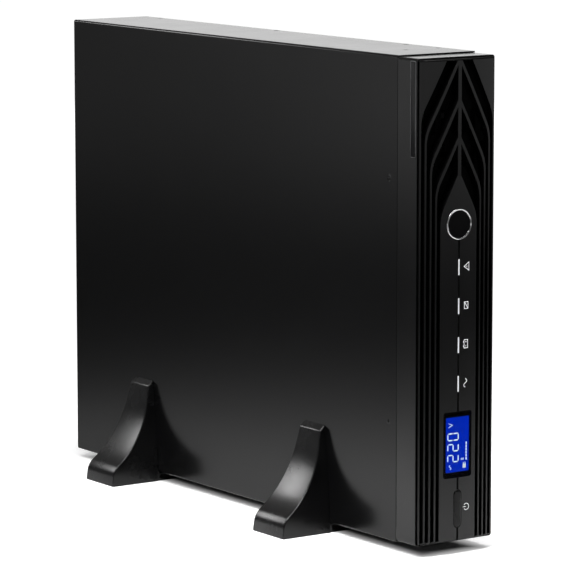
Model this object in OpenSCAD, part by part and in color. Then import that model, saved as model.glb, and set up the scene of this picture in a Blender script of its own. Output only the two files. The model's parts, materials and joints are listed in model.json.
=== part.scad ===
// Rack and tower uninterruptible power supply, standing on edge on two stands.
// X runs across the thin way, -Y is the front, Z is up and the floor is Z = 0.
// Y = 0 is the middle of the case, from the bezel's rim to the rear edge.

/* [Case] */
// Thickness of the case, two rack units
case_w = 86; // [84:1:90]
// Height of the case as it stands, the body width of a 19 inch unit
case_h = 438; // [436:1:442]
// Depth from the bezel's rim to the rear edge of the cover
case_d = 574; // [570:1:620]
// Thickness of the steel sheet
sheet_t = 1.2; // [1:0.1:1.4]
// Outer radius of the sheet bends
bend_r = 2; // [1.8:0.1:3]
// Gap between sheets that lap or butt
lap_gap = 0.1; // [0.05:0.05:0.2]
// Width of the base's lapped flanges
base_flange = 14; // [12:1:18]
// How far the rear panel sits inside the cover's rear edge
rear_recess = 1; // [0.5:0.5:2]

/* [Case screws] */
// Distance of the side screws behind the bezel's rim
side_screw_y = 40.6; // [38:0.2:44]
// Half the distance between the two side screws
side_screw_dz = 110; // [90:1:130]
// Distance of the flange screws from the base's face
flange_screw_in = 5; // [4.5:0.5:7]
// First flange screw, behind the rim
flange_screw_y = 125; // [115:1:140]
// Pitch of the flange screws
flange_screw_pitch = 208; // [190:1:215]
// Radius of a countersunk head
csk_r = 3; // [2.6:0.1:3.2]
// Radius of a case screw's shank
csk_shank_r = 1.5; // [1.3:0.1:1.6]
// Length of a case screw
csk_len = 6; // [5:0.5:8]

/* [Rack ear holes] */
// Distance of the ear holes behind the rim
ear_y = 74; // [70:1:80]
// Spacing of the two ear holes on each edge
ear_pitch = 36; // [30:0.5:36.5]
// Radius of the tapped hole, for an M4 screw
ear_bore_r = 1.65; // [1.4:0.05:2.1]
// Radius of the nut's shank in the sheet
ear_shank_r = 2.8; // [2.6:0.1:3.2]
// Radius of the nut's head
ear_nut_r = 4.5; // [4:0.1:5]
// Thickness of the nut's head
ear_nut_t = 3; // [2:0.5:4]

/* [Bezel] */
// Depth of the bezel's side walls
bezel_d = 28.5; // [26:0.5:32]
// Wall of the bezel frame
bezel_wall = 2.2; // [1.8:0.1:2.6]
// Corner radius of the bezel, seen from the front
bezel_r = 2.6; // [2.4:0.1:4]
// How far the case stands proud of the bezel at top and bottom
bezel_step = 1.2; // [0.8:0.1:1.4]
// Thin lip round the fascia
rim_lip = 0.9; // [0.7:0.1:1.2]
// Gap between the lip and the fascia
rim_gap = 0.7; // [0.4:0.1:1]
// Depth of the fascia's seat behind the rim
fascia_seat = 4; // [3:0.5:5]
// How far the fascia's edge stands proud of the rim
edge_proud = 1.8; // [1:0.1:2.5]
// Rounding of the fascia's top and bottom edges
fascia_edge_r = 1.4; // [1:0.1:2.5]
// Rise of the fascia's bow from its edge to its middle
bow_rise = 4.2; // [3:0.1:5]
// Seam between the bezel and the cover
seam_gap = 0.5; // [0.3:0.1:0.8]
// Thickness of the grille backing
backing_t = 2; // [1.5:0.1:2.5]
// Radius of the bezel's snap pegs
peg_r = 1.9; // [1.5:0.1:2]
// Clearance round a peg in its hole
peg_gap = 0.3; // [0.2:0.05:0.4]
// Length of a peg behind the bezel
peg_len = 8; // [6:0.5:10]
// Distance of the pegs from the top and bottom edges
peg_in = 24; // [20:1:30]

/* [Leaf grooves] */
// Half width of the control panel
panel_half = 20.1; // [19:0.1:21]
// Pitch of the upright grooves
groove_pitch = 5.35; // [5.2:0.05:5.4]
// Width of an upright groove
groove_w = 3.6; // [3:0.1:4]
// Lean of the slanted ribs from upright, in degrees
leaf_lean = 27.8; // [26:0.2:30]
// Radius where a slanted rib turns upright
leaf_turn_r = 40; // [30:1:44]
// Width of a slanted rib
slant_rib_w = 2.8; // [2:0.1:3.2]
// Width of the upright midrib
midrib_w = 3.5; // [3:0.1:4]
// Height of the control panel's tip
panel_tip = 335.6; // [330:0.2:340]
// Heights of the rib tips, from the lowest up
rib_tips = [366.6, 399.3, 436]; // [360:0.2:437]
// Height at which the outermost edges would meet
outer_tip = 461; // [458:0.5:464]
// Height of the grooves' lower ends
groove_low = 4.2; // [4:0.1:5.5]
// Depth of the strip above the grooves
groove_top = 1.2; // [0.8:0.1:3]

/* [Control panel] */
// Radius of the badge
badge_r = 13.8; // [12:0.1:15]
// Width of the badge's ring
badge_ring_w = 1.4; // [1:0.1:2]
// Depth of the badge's recess
badge_depth = 3; // [2:0.1:4]
// Height of the badge's centre
badge_z = 288.7; // [284:0.1:292]
// Length of a light bar
light_l = 14.4; // [13:0.1:18]
// Width of a light bar
light_w = 1.6; // [1.4:0.1:2.6]
// Height of the lowest light bar's centre
light_z = 145.2; // [140:0.1:150]
// Pitch of the light bars
light_pitch = 35; // [32:0.1:36]
// Width of the display window
lcd_w = 29.5; // [28:0.1:31]
// Height of the display window
lcd_h = 59; // [56:0.1:62]
// Height of the display's centre
lcd_z = 89.8; // [88:0.1:92]
// Thickness of the display window
lcd_glass_t = 1.5; // [1:0.1:2]
// Margin of the display module inside its window
lcd_margin = 1.2; // [0.8:0.1:2]
// Width of the power button
button_w = 8.3; // [7.5:0.1:9]
// Length of the power button
button_l = 34.3; // [32:0.1:36]
// Height of the power button's centre
button_z = 32; // [30:0.1:34]
// How far the power button stands proud
button_proud = 0.7; // [0.4:0.1:1.2]
// Travel of the power button
button_travel = 1.5; // [1:0.1:2]
// Clearance round the power button
button_gap = 0.3; // [0.2:0.05:0.4]
// Clearance round inserts that do not move
insert_gap = 0.05; // [0.03:0.01:0.1]
// Width of the centre line groove
line_w = 1.7; // [1.2:0.1:2]
// Depth of the centre line groove
line_depth = 0.8; // [0.5:0.1:1.2]
// Distance of the display board behind the rim
board_y = 12; // [11.5:0.1:14]
// Thickness of the circuit boards
pcb_t = 1.6; // [1.2:0.1:2]

/* [Stands] */
// Thickness of a stand's plate under the case
stand_plate_t = 9; // [8:0.5:12]
// Reach of a stand's toe from the case
stand_reach = 53; // [50:0.5:60]
// Thickness of a stand's upright at its top
stand_top_t = 5.4; // [5:0.1:8]
// Height of the upright's shoulder above the floor
stand_h = 94.8; // [90:0.2:100]
// Lean of the upright below its shoulder, in degrees
stand_lean = 11; // [8:0.5:16]
// Height at which the stand starts to sweep out
stand_sweep_z = 80; // [76:0.5:84]
// Radius of the sweep
stand_sweep_r = 98.5; // [92:0.5:104]
// Fall of the straight stretch after the sweep, in degrees
stand_fall = 38; // [36:0.5:44]
// Rounding of the toe
stand_toe_r = 17; // [12:0.5:20]
// Draft of the toe's face, in degrees
stand_toe_draft = 7; // [4:0.5:10]
// Width of a stand at the floor
stand_foot_w = 49.8; // [46:0.2:56]
// Width of a stand at its shoulder
stand_top_w = 32.8; // [28:0.2:36]
// How late a stand narrows towards its top: 1 is a straight taper
stand_taper = 1.5; // [1:0.05:2]
// Gap between a stand and the case's sides
stand_gap = 0.2; // [0.1:0.05:0.3]
// Distance of the front stand behind the rim
stand_front_y = 154.3; // [140:0.5:170]
// Distance of the rear stand in front of the rear edge
stand_rear_y = 127; // [114:0.5:144]
// Length of the tongue that joins two stand halves
tongue_l = 16; // [12:0.5:20]
// Width of the tongue
tongue_w = 20; // [16:0.5:26]
// Thickness of the tongue
tongue_t = 4; // [3:0.1:5]

/* [Batteries] */
// Width of a battery
bat_w = 65; // [64:0.5:66]
// Length of a battery
bat_l = 151; // [150:0.5:152]
// Height of a battery without its terminals
bat_h = 94; // [92:0.5:95]
// Gap between the two battery rows, for the straps
strap_space = 16; // [14:0.5:17]
// Gap between batteries in a row
bat_gap = 0.8; // [0.4:0.1:1]
// Sheet of the battery tray
tray_t = 1; // [0.8:0.1:1.2]
// Height of the plastic runners under the tray
runner_t = 2; // [2:0.1:3]
// Width of a runner
runner_w = 4; // [3:0.1:4.5]
// Slack round the batteries in their tray
tray_slack = 0.2; // [0.1:0.05:0.3]

/* [Fans] */
// Side of a fan's square frame
fan_s = 80; // [80:0.5:82]
// Depth of a fan
fan_d = 25; // [24:0.5:26]
// Radius of the fan's bore
fan_bore_r = 38; // [37.5:0.1:38.5]
// Spacing of the fan's screw holes
fan_hole_pitch = 71.5; // [71:0.1:72]
// Radius of the fan's hub
fan_hub_r = 17; // [15:0.5:19]
// Radius of the fan's shaft
fan_shaft_r = 1.5; // [1.2:0.1:2]
// Clearance round the fan's shaft
shaft_gap = 0.06; // [0.04:0.01:0.08]
// Gap between the blade tips and the bore
fan_tip_gap = 1.2; // [0.8:0.1:1.5]
// Number of fan blades
fan_blades = 7; // [5:1:9]
// Distance of the upper fan's centre below the top of the case
fan_upper_z = 47; // [46:0.5:48]
// Distance between the fan centres
fan_pitch = 85; // [84:0.5:86]
// Half the width of the guard's wire
guard_wire_r = 1.1; // [0.9:0.1:1.3]

/* [Rear fittings] */
// Distance of the sockets from the middle line
socket_x = 19.5; // [18.5:0.1:19.8]
// Distance of the mains inlet and the battery socket below the lower fan's centre
inlet_z = 66; // [63:0.5:68]
// Distance of the large outlet and the breaker below the inlet
large_outlet_z = 39; // [37:0.5:40]
// Gap between the large outlet's flange and the outlet strips
strip_z = 3; // [2:0.5:4]
// Pitch of the outlets in a strip
outlet_pitch = 23.5; // [23:0.1:23.8]
// Height of the signal ports
port_z = 70; // [69:0.5:71]
// Height of the card slot's cover
slot_z = 34; // [33:0.5:35]
// Thickness of a socket's flange
flange_t = 2.5; // [2:0.1:3]
// Depth of the sockets behind the rear panel
socket_depth = 26; // [25:0.5:30]
// Reach of the breaker's button behind the cover's rear edge
breaker_reach = 6.7; // [5:0.1:8]
// Radius of the breaker's button
breaker_r = 3.5; // [3:0.1:4]
// Travel of the breaker's button when it trips
breaker_travel = 3; // [2:0.1:4]

/* [Electronics] */
// Height of the main board's standoffs
standoff_h = 8; // [6:0.5:10]
// Length of a heatsink
sink_l = 150; // [130:1:160]
// Height of a heatsink above the board
sink_h = 58; // [50:0.5:60]
// Length of a heatsink's fins
sink_fin = 22; // [18:0.5:26]
// Radius of a bus capacitor
cap_r = 15; // [12:0.5:15.5]
// Height of a bus capacitor
cap_h = 46; // [40:0.5:56]
// Outer radius of a choke
choke_r = 27; // [24:0.5:28]
// Radius of a choke's hole
choke_bore_r = 12; // [9:0.5:14]
// Height of a choke
choke_h = 26; // [22:0.5:34]

/* [Hidden] */
$fn = 48;
over = 1; // how far a cutting shape runs past the face that it cuts

// Case planes
x_side = case_w / 2;
x_in = x_side - sheet_t;
y_rim = -case_d / 2;
y_seam = y_rim + bezel_d;
y_rear = case_d / 2;
z_bot = stand_plate_t;
z_top = z_bot + case_h;
z_mid = z_bot + case_h / 2;
lap = sheet_t + lap_gap;
z_in0 = z_bot + 2 * lap;
z_in1 = z_top - 2 * lap;
y_front = y_seam - seam_gap;
y_panel = y_rear - rear_recess;
y_panel_in = y_panel - sheet_t;
flange_screw_edge = 20;
ear_x = [0, ear_pitch];
ear_clear = 16;
ear_nut_gap = 0.3;
vent_x = 17;
vent_w = 26;
vent_h = 5;
vent_r = 1.5;
vent_pitch = 10;
vent_low = 12;
vent_high = 34;

// Bezel planes
crown = edge_proud + bow_rise;
y_crown = y_rim - crown;
y_seat = y_rim + fascia_seat;
y_backing = y_seat + backing_t;
y_board = y_rim + board_y;
fascia_half = x_side - rim_lip - rim_gap;
bezel_h = case_h - 2 * bezel_step;
fascia_z0 = z_bot + bezel_step + rim_lip + rim_gap;
fascia_z1 = z_top - bezel_step - rim_lip - rim_gap;
bow_r = (fascia_half * fascia_half + bow_rise * bow_rise) / (2 * bow_rise);
rib_low_w = groove_pitch - groove_w;
rib_half_drop = slant_rib_w / 2 / sin(leaf_lean);
peg_x = x_side - bezel_wall - peg_r;
light_zs = [for (i = [0:3]) z_bot + light_z + i * light_pitch];
lcd_recess = 0.8;
lcd_r = 1.5;
ring_edge = 0.2;
ring_crest = 0.6;
seat_gap = 0.3;
peg_block_h = 8;
peg_block_in = 2;
hole_r = 2;
hole_w = 5;
hole_h = 22;
hole_pitch_x = 11;
hole_pitch_z = 30;
hole_span = 33;
hole_low = 14;
hole_high = 40;
board_half = 17;
board_z0 = z_bot + 14;
board_z1 = z_bot + panel_tip - 22;
button_flange_t = 1.6;
button_flange_w = 1.2;
button_back_gap = 0.3;
y_button_back = y_backing + button_back_gap + button_flange_t;
switch_w = 6;
switch_h = y_board - y_button_back - button_travel - seat_gap;
boss_r = 3;
boss_in = 0.5;
boss_x = board_half - boss_r - boss_in;
boss_up = [22, 36, 70, 120];
boss_zs = [for (i = [0:3]) z_bot + [button_z, lcd_z, light_z, light_z][i] + boss_up[i]];

// Battery bay planes
tray_half = bat_w / 2 + tray_slack + tray_t;
tray_inner_h = 2 * bat_h + strap_space + 2 * tray_slack;
y_tray = y_front + sheet_t + lap_gap;
filter_coil_h = 18;
bay_gap = 10;
y_bay_end = y_panel_in - socket_depth - pcb_t - filter_coil_h - bay_gap;
// As many batteries in a row as the bay takes in front of the sockets
bat_count = floor((y_bay_end - y_tray - tray_t - 2 * tray_slack + bat_gap) / (bat_l + bat_gap));
tray_inner_l = bat_count * (bat_l + bat_gap) - bat_gap + 2 * tray_slack;
y_tray_end = y_tray + tray_inner_l + tray_t;
z_tray = z_in0 + runner_t;
z_tray_top = z_tray + tray_inner_h + 2 * tray_t;
z_row = [z_tray + tray_t + tray_slack, z_tray + tray_t + tray_slack + bat_h + strap_space];
tab_w = 6.3;
tab_t = 0.8;
tab_h = 6;
tab_x = 20;
tab_y = bat_l / 2 - 15;
strap_w = 4;
strap_t = 2;
strap_end_gap = 0.5;
door_lap = 1.8;
door_rise = 14;
door_top = z_tray_top + door_rise;
door_half = tray_half + door_lap;
door_screw_z = z_tray_top + 8;
door_screw_in = 6;
door_screw_r = 1.5;
door_screw_head_r = 3;
door_screw_head_t = 2;
door_screw_len = 5;
screw_gap = 0.1;
handle_l = 68;
handle_w = 4;
handle_t = 2;
handle_reach = 7;
handle_foot = 8;
divider_gap = 1.5;
divider_past = 4;
z_divider = z_tray_top + divider_gap;
tray_open = 0.6;

// Electronics planes
x_board = x_in - standoff_h - pcb_t;
board_front = 52;
board_rear = 24;
board_y0 = y_front + board_front;
board_y1 = y_panel_in - fan_d - board_rear;
main_z0 = z_divider + sheet_t + 7;
main_z1 = z_in1 - 7;
main_zm = (main_z0 + main_z1) / 2;
standoff_r = 3;
standoff_in = [8, 6];
sink_spine = 6;
sink_y = board_y1 - sink_l - 12;
sink_zs = [main_z0 + 14, main_zm + 22];
fin_count = 7;
fin_t = 2;
fin_end = 1;
fin_pitch = (sink_h - fin_t - fin_end) / (fin_count - 1);
transistor = [22, 16, 5];
transistor_lift = 4;
transistor_in = 14;
transistor_count = 4;
transistor_pitch = (sink_l - 2 * transistor_in - transistor[1]) / (transistor_count - 1);
choke_apart = 16;
choke_y = sink_y - choke_r - 8;
cap_gap = [4, 12];
cap_y0 = choke_y - choke_r - cap_r - 6;
cap_front = cap_y0 - 3 * cap_r - cap_gap[0];
coil_core = 40;
coil_winding = [24, 52, 28];
coil_lift = 8;
coil_at = [60, 34];
relay = [22, 16, 30];
relay_at = [26, 36];
relay_pitch = 24;
relay_gap = 20;
relay_count = floor((cap_front - relay_gap - board_y0 - relay_at[0] + relay[1] / 2) / relay_pitch);
control_w = 60;
control_at = [12, 14];
control_gap = 17;
control_l = cap_front - control_gap - board_y0 - control_at[0];
chip_large = [26, 26, 3];
chip_large_at = [-50, 20];
chip_small = [16, 20, 2.5];
chip_small_x = -46;
chip_small_end = 50;
header_w = 16;
header_h = 9;
header_x = -20;
header_in = [2, 12];
filter_side = 6;
filter_coil_x = 18;
filter_coil_r = 11;

// Fan planes
fan_zs = [z_top - fan_upper_z - fan_pitch, z_top - fan_upper_z];
fan_corner_r = 3;
fan_screw_r = 2;
fan_screw_gap = 0.15;
fan_screw_head_r = 3.4;
fan_screw_head_t = 1.8;
fan_screw_len = 10;
fan_strut_t = 4;
fan_strut_w = 4;
bearing_r = 4;
bearing_in = 8;
rotor_in = 1;
rotor_gap = 1;
hub_wall = 2;
hub_face = 3;
blade_pitch = 38;
blade_chord = 18;
blade_t = 2;
blade_root = 0.5;
blade_spare = 4;
guard_rings = [13, 20.5, 28, 35.5];
guard_eye_r = 4.2;
guard_t = 2 * guard_wire_r;

// Rear fittings, stacked down from the fans and up from the base
socket_w = 32;
socket_hgt = 27;
socket_lip = 3;
socket_r = 2;
key_cut = 4;
inlet_w = 30;
inlet_h = 21;
inlet_depth = 20;
blade_w = 2;
blade_h = 8;
blade_short = 3;
// Two live blades below and the earth blade above
blade_at = [[-6.5, -5], [6.5, -5], [0, 3]];
pole_x = 8;
pole_w = 11;
pole_h = 16;
pole_depth = 16;
strip_w = 35;
strip_end = 3;
outlet_core = [24, 15.5];
outlet_slot = [2.6, 5];
outlet_depth = 12;
large_core = [27, 18];
large_slot = [3, 8];
large_depth = 14;
moat_w = 2;
moat_cut = key_cut + 1;
breaker_x = socket_x - 9;
breaker_w = 14;
breaker_h = 24;
breaker_neck_r = 5.5;
breaker_neck_l = 5;
breaker_nut_r = 8;
breaker_nut_t = 2.5;
breaker_root = 4;
breaker_bore = 0.1;
earth_x = socket_x + 14;
earth_r = 2.4;
earth_gap = 0.2;
earth_len = 8;
earth_washer_r = 6;
earth_washer_t = 1;
earth_nut_r = 4.6;
earth_nut_t = 3;
port_x = [-20, 11, 30];
port_gap = 6;
serial_flange = [31, 12.4];
serial_flange_t = 1;
serial_cut = [20, 10];
serial_top = 18;
serial_low = 15.2;
serial_h = 8.4;
serial_out = 6;
serial_back = 12;
serial_post_x = 12.5;
serial_post_r = 2.6;
serial_post_l = 5;
usb_size = [12, 11];
usb_wall = 0.8;
usb_out = 0.8;
usb_back = 14;
usb_hollow = 9;
usb_tongue = [5.6, 3.2];
usb_tongue_in = 0.5;
terminal_size = [12, 9];
terminal_out = 4;
terminal_back = 12;
terminal_pitch = 5.4;
terminal_hole = [3.8, 6];
terminal_depth = 10;
slot_w = 56;
slot_h = 30;
slot_cover_w = 74;
slot_cover_h = 38;
slot_cover_r = 2;
slot_screw_x = 33;
slot_screw_r = 1.5;
slot_head_r = 4;
slot_head_t = 4.5;
slot_screw_len = 6;

inlet_at = fan_zs[0] - inlet_z;
large_outlet_at = inlet_at - large_outlet_z;
port_at = z_bot + port_z;
slot_at = z_bot + slot_z;
strip_top = large_outlet_at - socket_hgt / 2 - socket_lip - strip_z;
strip_room = strip_top - port_at - serial_flange[1] / 2 - port_gap - strip_end;
outlet_rows = floor(strip_room / outlet_pitch);
strip_h = outlet_rows * outlet_pitch + strip_end;
strip_at = strip_top - strip_h / 2;

// Display board's parts and its ribbon cable
ribbon_w = 14;
ribbon_t = 0.8;
ribbon_up = 300;
ribbon_z = z_bot + ribbon_up;
ribbon_slot_gap = 2;
ribbon_slot_h = 6;
ribbon_drop = 14;
ribbon_rise = 40;
ribbon_fold = [2, 5];
ribbon_reach = 20;
plug_w = 18;
plug_h = 7;
plug_t = 5;
chip_w = 16;
chip_t = 2;

// Shapes that repeat
module block(low, high) {
    translate(low) cube(high - low);
}

// Draws an outline in X and Z from one Y to another
module along_y(y0, y1) {
    translate([0, y1, 0]) rotate([90, 0, 0]) linear_extrude(y1 - y0) children();
}

// Draws an outline in Y and Z from one X to another
module along_x(x0, x1) {
    translate([x0, 0, 0]) rotate([90, 0, 90]) linear_extrude(x1 - x0) children();
}

// Round bar along Y
module bar_y(r, y0, y1) {
    translate([0, y1, 0]) rotate([90, 0, 0]) cylinder(r = r, h = y1 - y0);
}

module rounded(w, h, r) {
    square([w - 2 * r, h], center = true);
    square([w, h - 2 * r], center = true);
    for (sx = [-1, 1], sy = [-1, 1])
        translate([sx * (w / 2 - r), sy * (h / 2 - r)]) circle(r);
}

// Upright slot with round ends
module pill(w, l) {
    square([w, l - w], center = true);
    for (s = [-1, 1]) translate([0, s * (l - w) / 2]) circle(w / 2);
}

// Rectangle with two corners cut, as on an appliance outlet
module keyed(w, h, cut) {
    polygon([[-w / 2, -h / 2], [w / 2, -h / 2], [w / 2, h / 2 - cut], [w / 2 - cut, h / 2],
        [-w / 2 + cut, h / 2], [-w / 2, h / 2 - cut]]);
}

function reversed(v) = [for (i = [len(v) - 1:-1:0]) v[i]];
function arc(c, r, a0, a1, n) =
    [for (i = [0:n]) let (a = a0 + (a1 - a0) * i / n) c + r * [cos(a), sin(a)]];
function cross2(a, b) = a[0] * b[1] - a[1] * b[0];

// Case
module side_screw_sites() {
    for (s = [-1, 1])
        translate([-x_side, y_rim + side_screw_y, z_mid + s * side_screw_dz])
            rotate([0, -90, 0]) children();
}

module flange_screw_sites() {
    for (top = [0, 1], y = [y_rim + flange_screw_y:flange_screw_pitch:y_rear - flange_screw_edge])
        translate([x_side - flange_screw_in, y, top ? z_top : z_bot])
            rotate([top ? 0 : 180, 0, 0]) children();
}

module ear_sites() {
    for (top = [0, 1], x = ear_x)
        translate([x, y_rim + ear_y, top ? z_top : z_bot]) rotate([top ? 0 : 180, 0, 0]) children();
}

// Countersunk screw with its head flush with Z = 0, and the hole that clears it
module csk_screw(gap = 0) {
    rotate_extrude() polygon([[0, gap], [csk_r + gap, gap], [csk_r + gap, 0], [csk_shank_r + gap, -sheet_t],
        [csk_shank_r + gap, -csk_len - gap], [0, -csk_len - gap]]);
}

module case_cover() color("#1c1d1f") difference() {
    along_y(y_seam, y_rear) difference() {
        translate([bend_r, z_mid]) rounded(case_w + 2 * bend_r, case_h, bend_r);
        translate([bend_r, z_mid])
            rounded(case_w + 2 * bend_r - 2 * sheet_t, case_h - 2 * sheet_t, bend_r - sheet_t);
        translate([x_side - lap_gap, z_bot - over]) square([3 * bend_r, case_h + 2 * over]);
    }
    side_screw_sites() csk_screw(lap_gap);
    flange_screw_sites() csk_screw(lap_gap);
    ear_sites() translate([0, 0, -2 * sheet_t]) cylinder(r = ear_shank_r + insert_gap, h = 3 * sheet_t);
}

module chassis_base() color("#2a2b2d") difference() {
    along_y(y_seam, y_rear) difference() {
        translate([0, z_mid]) rounded(case_w, case_h - 2 * lap, bend_r);
        translate([-sheet_t, z_mid]) rounded(case_w, case_h - 2 * lap - 2 * sheet_t, bend_r - sheet_t);
        translate([-x_side - over, z_bot]) square([case_w - base_flange + over, case_h]);
    }
    block([x_side - base_flange - over, y_seam - over, z_bot],
        [ear_x[1] + ear_nut_r + ear_nut_gap, y_rim + ear_y + ear_clear, z_top]);
    flange_screw_sites() csk_screw(lap_gap);
}

// Outline of the front and rear panels inside the case, with the bends' corners cleared
module sheet_2d() {
    translate([0, (z_in0 + z_in1) / 2]) rounded(2 * (x_in - lap_gap), z_in1 - z_in0, bend_r - sheet_t);
}

module door_screw_sites() {
    for (s = [-1, 0, 1]) translate([s * (tray_half - door_screw_in), 0, door_screw_z]) children();
}

module front_panel() color("#3a3c3f") difference() {
    union() {
        along_y(y_front, y_front + sheet_t) sheet_2d();
        block([-x_in + lap_gap, y_front, z_in0 + bend_r],
            [-x_in + lap, y_rim + side_screw_y + 2 * csk_r, z_in1 - bend_r]);
    }
    block([-tray_half - tray_open, y_front - over, z_in0 - over],
        [tray_half + tray_open, y_front + 2 * sheet_t, z_tray_top + tray_open]);
    door_screw_sites() bar_y(door_screw_r + screw_gap, y_front - over, y_front + 2 * sheet_t);
    for (x = [-1, 1], z = [z_bot + peg_in, z_top - peg_in])
        translate([x * peg_x, 0, z]) bar_y(peg_r + peg_gap, y_front - over, y_front + peg_len + over);
    for (s = [-1, 1], z = [door_top + vent_low:vent_pitch:z_in1 - vent_high])
        along_y(y_front - over, y_front + 2 * sheet_t)
            translate([s * vent_x, z]) rounded(vent_w, vent_h, vent_r);
    block([-ribbon_w / 2 - ribbon_slot_gap, y_front - over, ribbon_z - ribbon_slot_h / 2],
        [ribbon_w / 2 + ribbon_slot_gap, y_front + 2 * sheet_t, ribbon_z + ribbon_slot_h / 2]);
    side_screw_sites() translate([0, 0, -csk_len]) cylinder(r = csk_shank_r + lap_gap, h = csk_len);
}

module bay_divider() color("#3a3c3f") block([-x_in + lap, y_front + sheet_t, z_divider],
    [x_in - lap_gap, y_tray_end + divider_past, z_divider + sheet_t]);

module ear_nuts() color("silver") ear_sites() difference() {
    union() {
        translate([0, 0, -sheet_t]) cylinder(r = ear_shank_r, h = sheet_t);
        translate([0, 0, -sheet_t - ear_nut_t]) cylinder(r = ear_nut_r, h = ear_nut_t);
    }
    translate([0, 0, -sheet_t - ear_nut_t - over])
        cylinder(r = ear_bore_r, h = sheet_t + ear_nut_t + 2 * over);
}

module case_screws() color("#222326") {
    side_screw_sites() csk_screw();
    flange_screw_sites() csk_screw();
}

// Stands: the outline of one wing in X and Z, measured out from the case's side
stand_x0 = x_side + stand_gap;
stand_lean_out = [cos(stand_lean), sin(stand_lean)];
stand_shoulder = [stand_x0, stand_h] + stand_top_t * stand_lean_out;
stand_toe = [stand_x0 + stand_reach, 0];
stand_fall_dir = [cos(stand_fall), -sin(stand_fall)];
stand_toe_dir = [-sin(stand_toe_draft), cos(stand_toe_draft)];
stand_sweep_start = stand_shoulder + (stand_shoulder[1] - stand_sweep_z) * [tan(stand_lean), -1];
stand_sweep_c = stand_sweep_start + stand_sweep_r * stand_lean_out;
stand_sweep_end = stand_sweep_c + stand_sweep_r * [-sin(stand_fall), -cos(stand_fall)];
stand_nose = stand_toe + stand_toe_dir * cross2(stand_sweep_end - stand_toe, stand_fall_dir)
    / cross2(stand_toe_dir, stand_fall_dir);
stand_turn = 90 - stand_fall - stand_toe_draft;
stand_nose_c = stand_nose - stand_fall_dir * stand_toe_r * tan(stand_turn / 2)
    - stand_toe_r * [sin(stand_fall), cos(stand_fall)];
stand_outline = concat([[stand_x0, 0], stand_toe],
    arc(stand_nose_c, stand_toe_r, stand_toe_draft, 90 - stand_fall, 6),
    reversed(arc(stand_sweep_c, stand_sweep_r, 180 + stand_lean, 270 - stand_fall, 12)),
    arc([stand_x0, stand_h], stand_top_t, stand_lean, 90, 8));

// Half the width of a stand at a height
function stand_half_w(z) = stand_foot_w / 2 - (stand_foot_w - stand_top_w) / 2 * pow(z / stand_h, stand_taper);
stand_side = [for (i = [0:8]) let (z = (stand_h + stand_top_t) * i / 8) [stand_half_w(z), z]];

module stand_wing(y) {
    intersection() {
        along_y(y - stand_foot_w, y + stand_foot_w) polygon(stand_outline);
        along_x(stand_x0, stand_toe[0])
            polygon([for (p = concat(stand_side, reversed([for (q = stand_side) [-q[0], q[1]]]))) [y + p[0], p[1]]]);
    }
}

module tongue(y, gap) {
    z = stand_plate_t / 2;
    block([-over, y - tongue_w / 2 - gap, z - tongue_t / 2 - gap],
        [tongue_l + gap, y + tongue_w / 2 + gap, z + tongue_t / 2 + gap]);
}

module stand_half(y) {
    stand_wing(y);
    block([lap_gap, y - stand_foot_w / 2, 0], [stand_x0 + lap_gap, y + stand_foot_w / 2, stand_plate_t]);
}

module stand_left(y) color("#141416") {
    mirror([1, 0, 0]) stand_half(y);
    tongue(y, 0);
}

module stand_right(y) color("#141416") difference() {
    stand_half(y);
    tongue(y, 2 * lap_gap);
}

module stand_front_left() stand_left(y_rim + stand_front_y);
module stand_front_right() stand_right(y_rim + stand_front_y);
module stand_rear_left() stand_left(y_rear - stand_rear_y);
module stand_rear_right() stand_right(y_rear - stand_rear_y);

// Batteries
function bat_y(i) = y_tray + tray_slack + i * (bat_l + bat_gap) + bat_l / 2;

// The right runner lies on the base's flange, and the left one on the cover
module tray_runners() color("#d8d8d2") for (s = [-1, 1]) {
    x = s * (tray_half - runner_w / 2);
    block([x - runner_w / 2, y_rim + ear_y + ear_clear, s < 0 ? z_bot + sheet_t : z_in0],
        [x + runner_w / 2, y_tray_end, z_tray]);
}

module battery_tray() color("#55585c") difference() {
    block([-tray_half, y_tray, z_tray], [tray_half, y_tray_end, z_tray_top]);
    block([-tray_half - over, y_tray - over, z_tray + tray_t],
        [tray_half - tray_t, y_tray_end - tray_t, z_tray_top - tray_t]);
}

// One battery on its base, with two flat tabs on top
module battery() {
    lid_h = 14;
    lid_in = 0.8;
    block([-bat_w / 2, -bat_l / 2, 0], [bat_w / 2, bat_l / 2, bat_h - lid_h]);
    block([-bat_w / 2 + lid_in, -bat_l / 2 + lid_in, bat_h - lid_h - over],
        [bat_w / 2 - lid_in, bat_l / 2 - lid_in, bat_h]);
    for (s = [-1, 1])
        block([tab_x - tab_w / 2, s * tab_y - tab_t / 2, bat_h - over],
            [tab_x + tab_w / 2, s * tab_y + tab_t / 2, bat_h + tab_h]);
}

module lower_batteries() color("#2b3a42") for (i = [0:bat_count - 1])
    translate([0, bat_y(i), z_row[0]]) battery();

module upper_batteries() color("#2b3a42") for (i = [0:bat_count - 1])
    translate([0, bat_y(i), z_row[1] + bat_h]) mirror([0, 0, 1]) battery();

// Straps lie against the tabs: two along each row, and one across at the rear
module battery_straps() color("#b87333") {
    for (row = [0, 1], i = [0:bat_count - 2]) {
        z = row ? z_row[1] - tab_h : z_row[0] + bat_h + tab_h - strap_w;
        block([tab_x - tab_w / 2, bat_y(i) + tab_y + tab_t / 2 + insert_gap, z],
            [tab_x + tab_w / 2, bat_y(i + 1) - tab_y - tab_t / 2 - insert_gap, z + strap_w]);
    }
    y = bat_y(bat_count - 1) + tab_y + tab_t / 2 + insert_gap;
    block([tab_x - tab_w / 2, y, z_row[0] + bat_h + strap_end_gap],
        [tab_x + tab_w / 2, y + strap_t, z_row[1] - strap_end_gap]);
}

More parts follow.
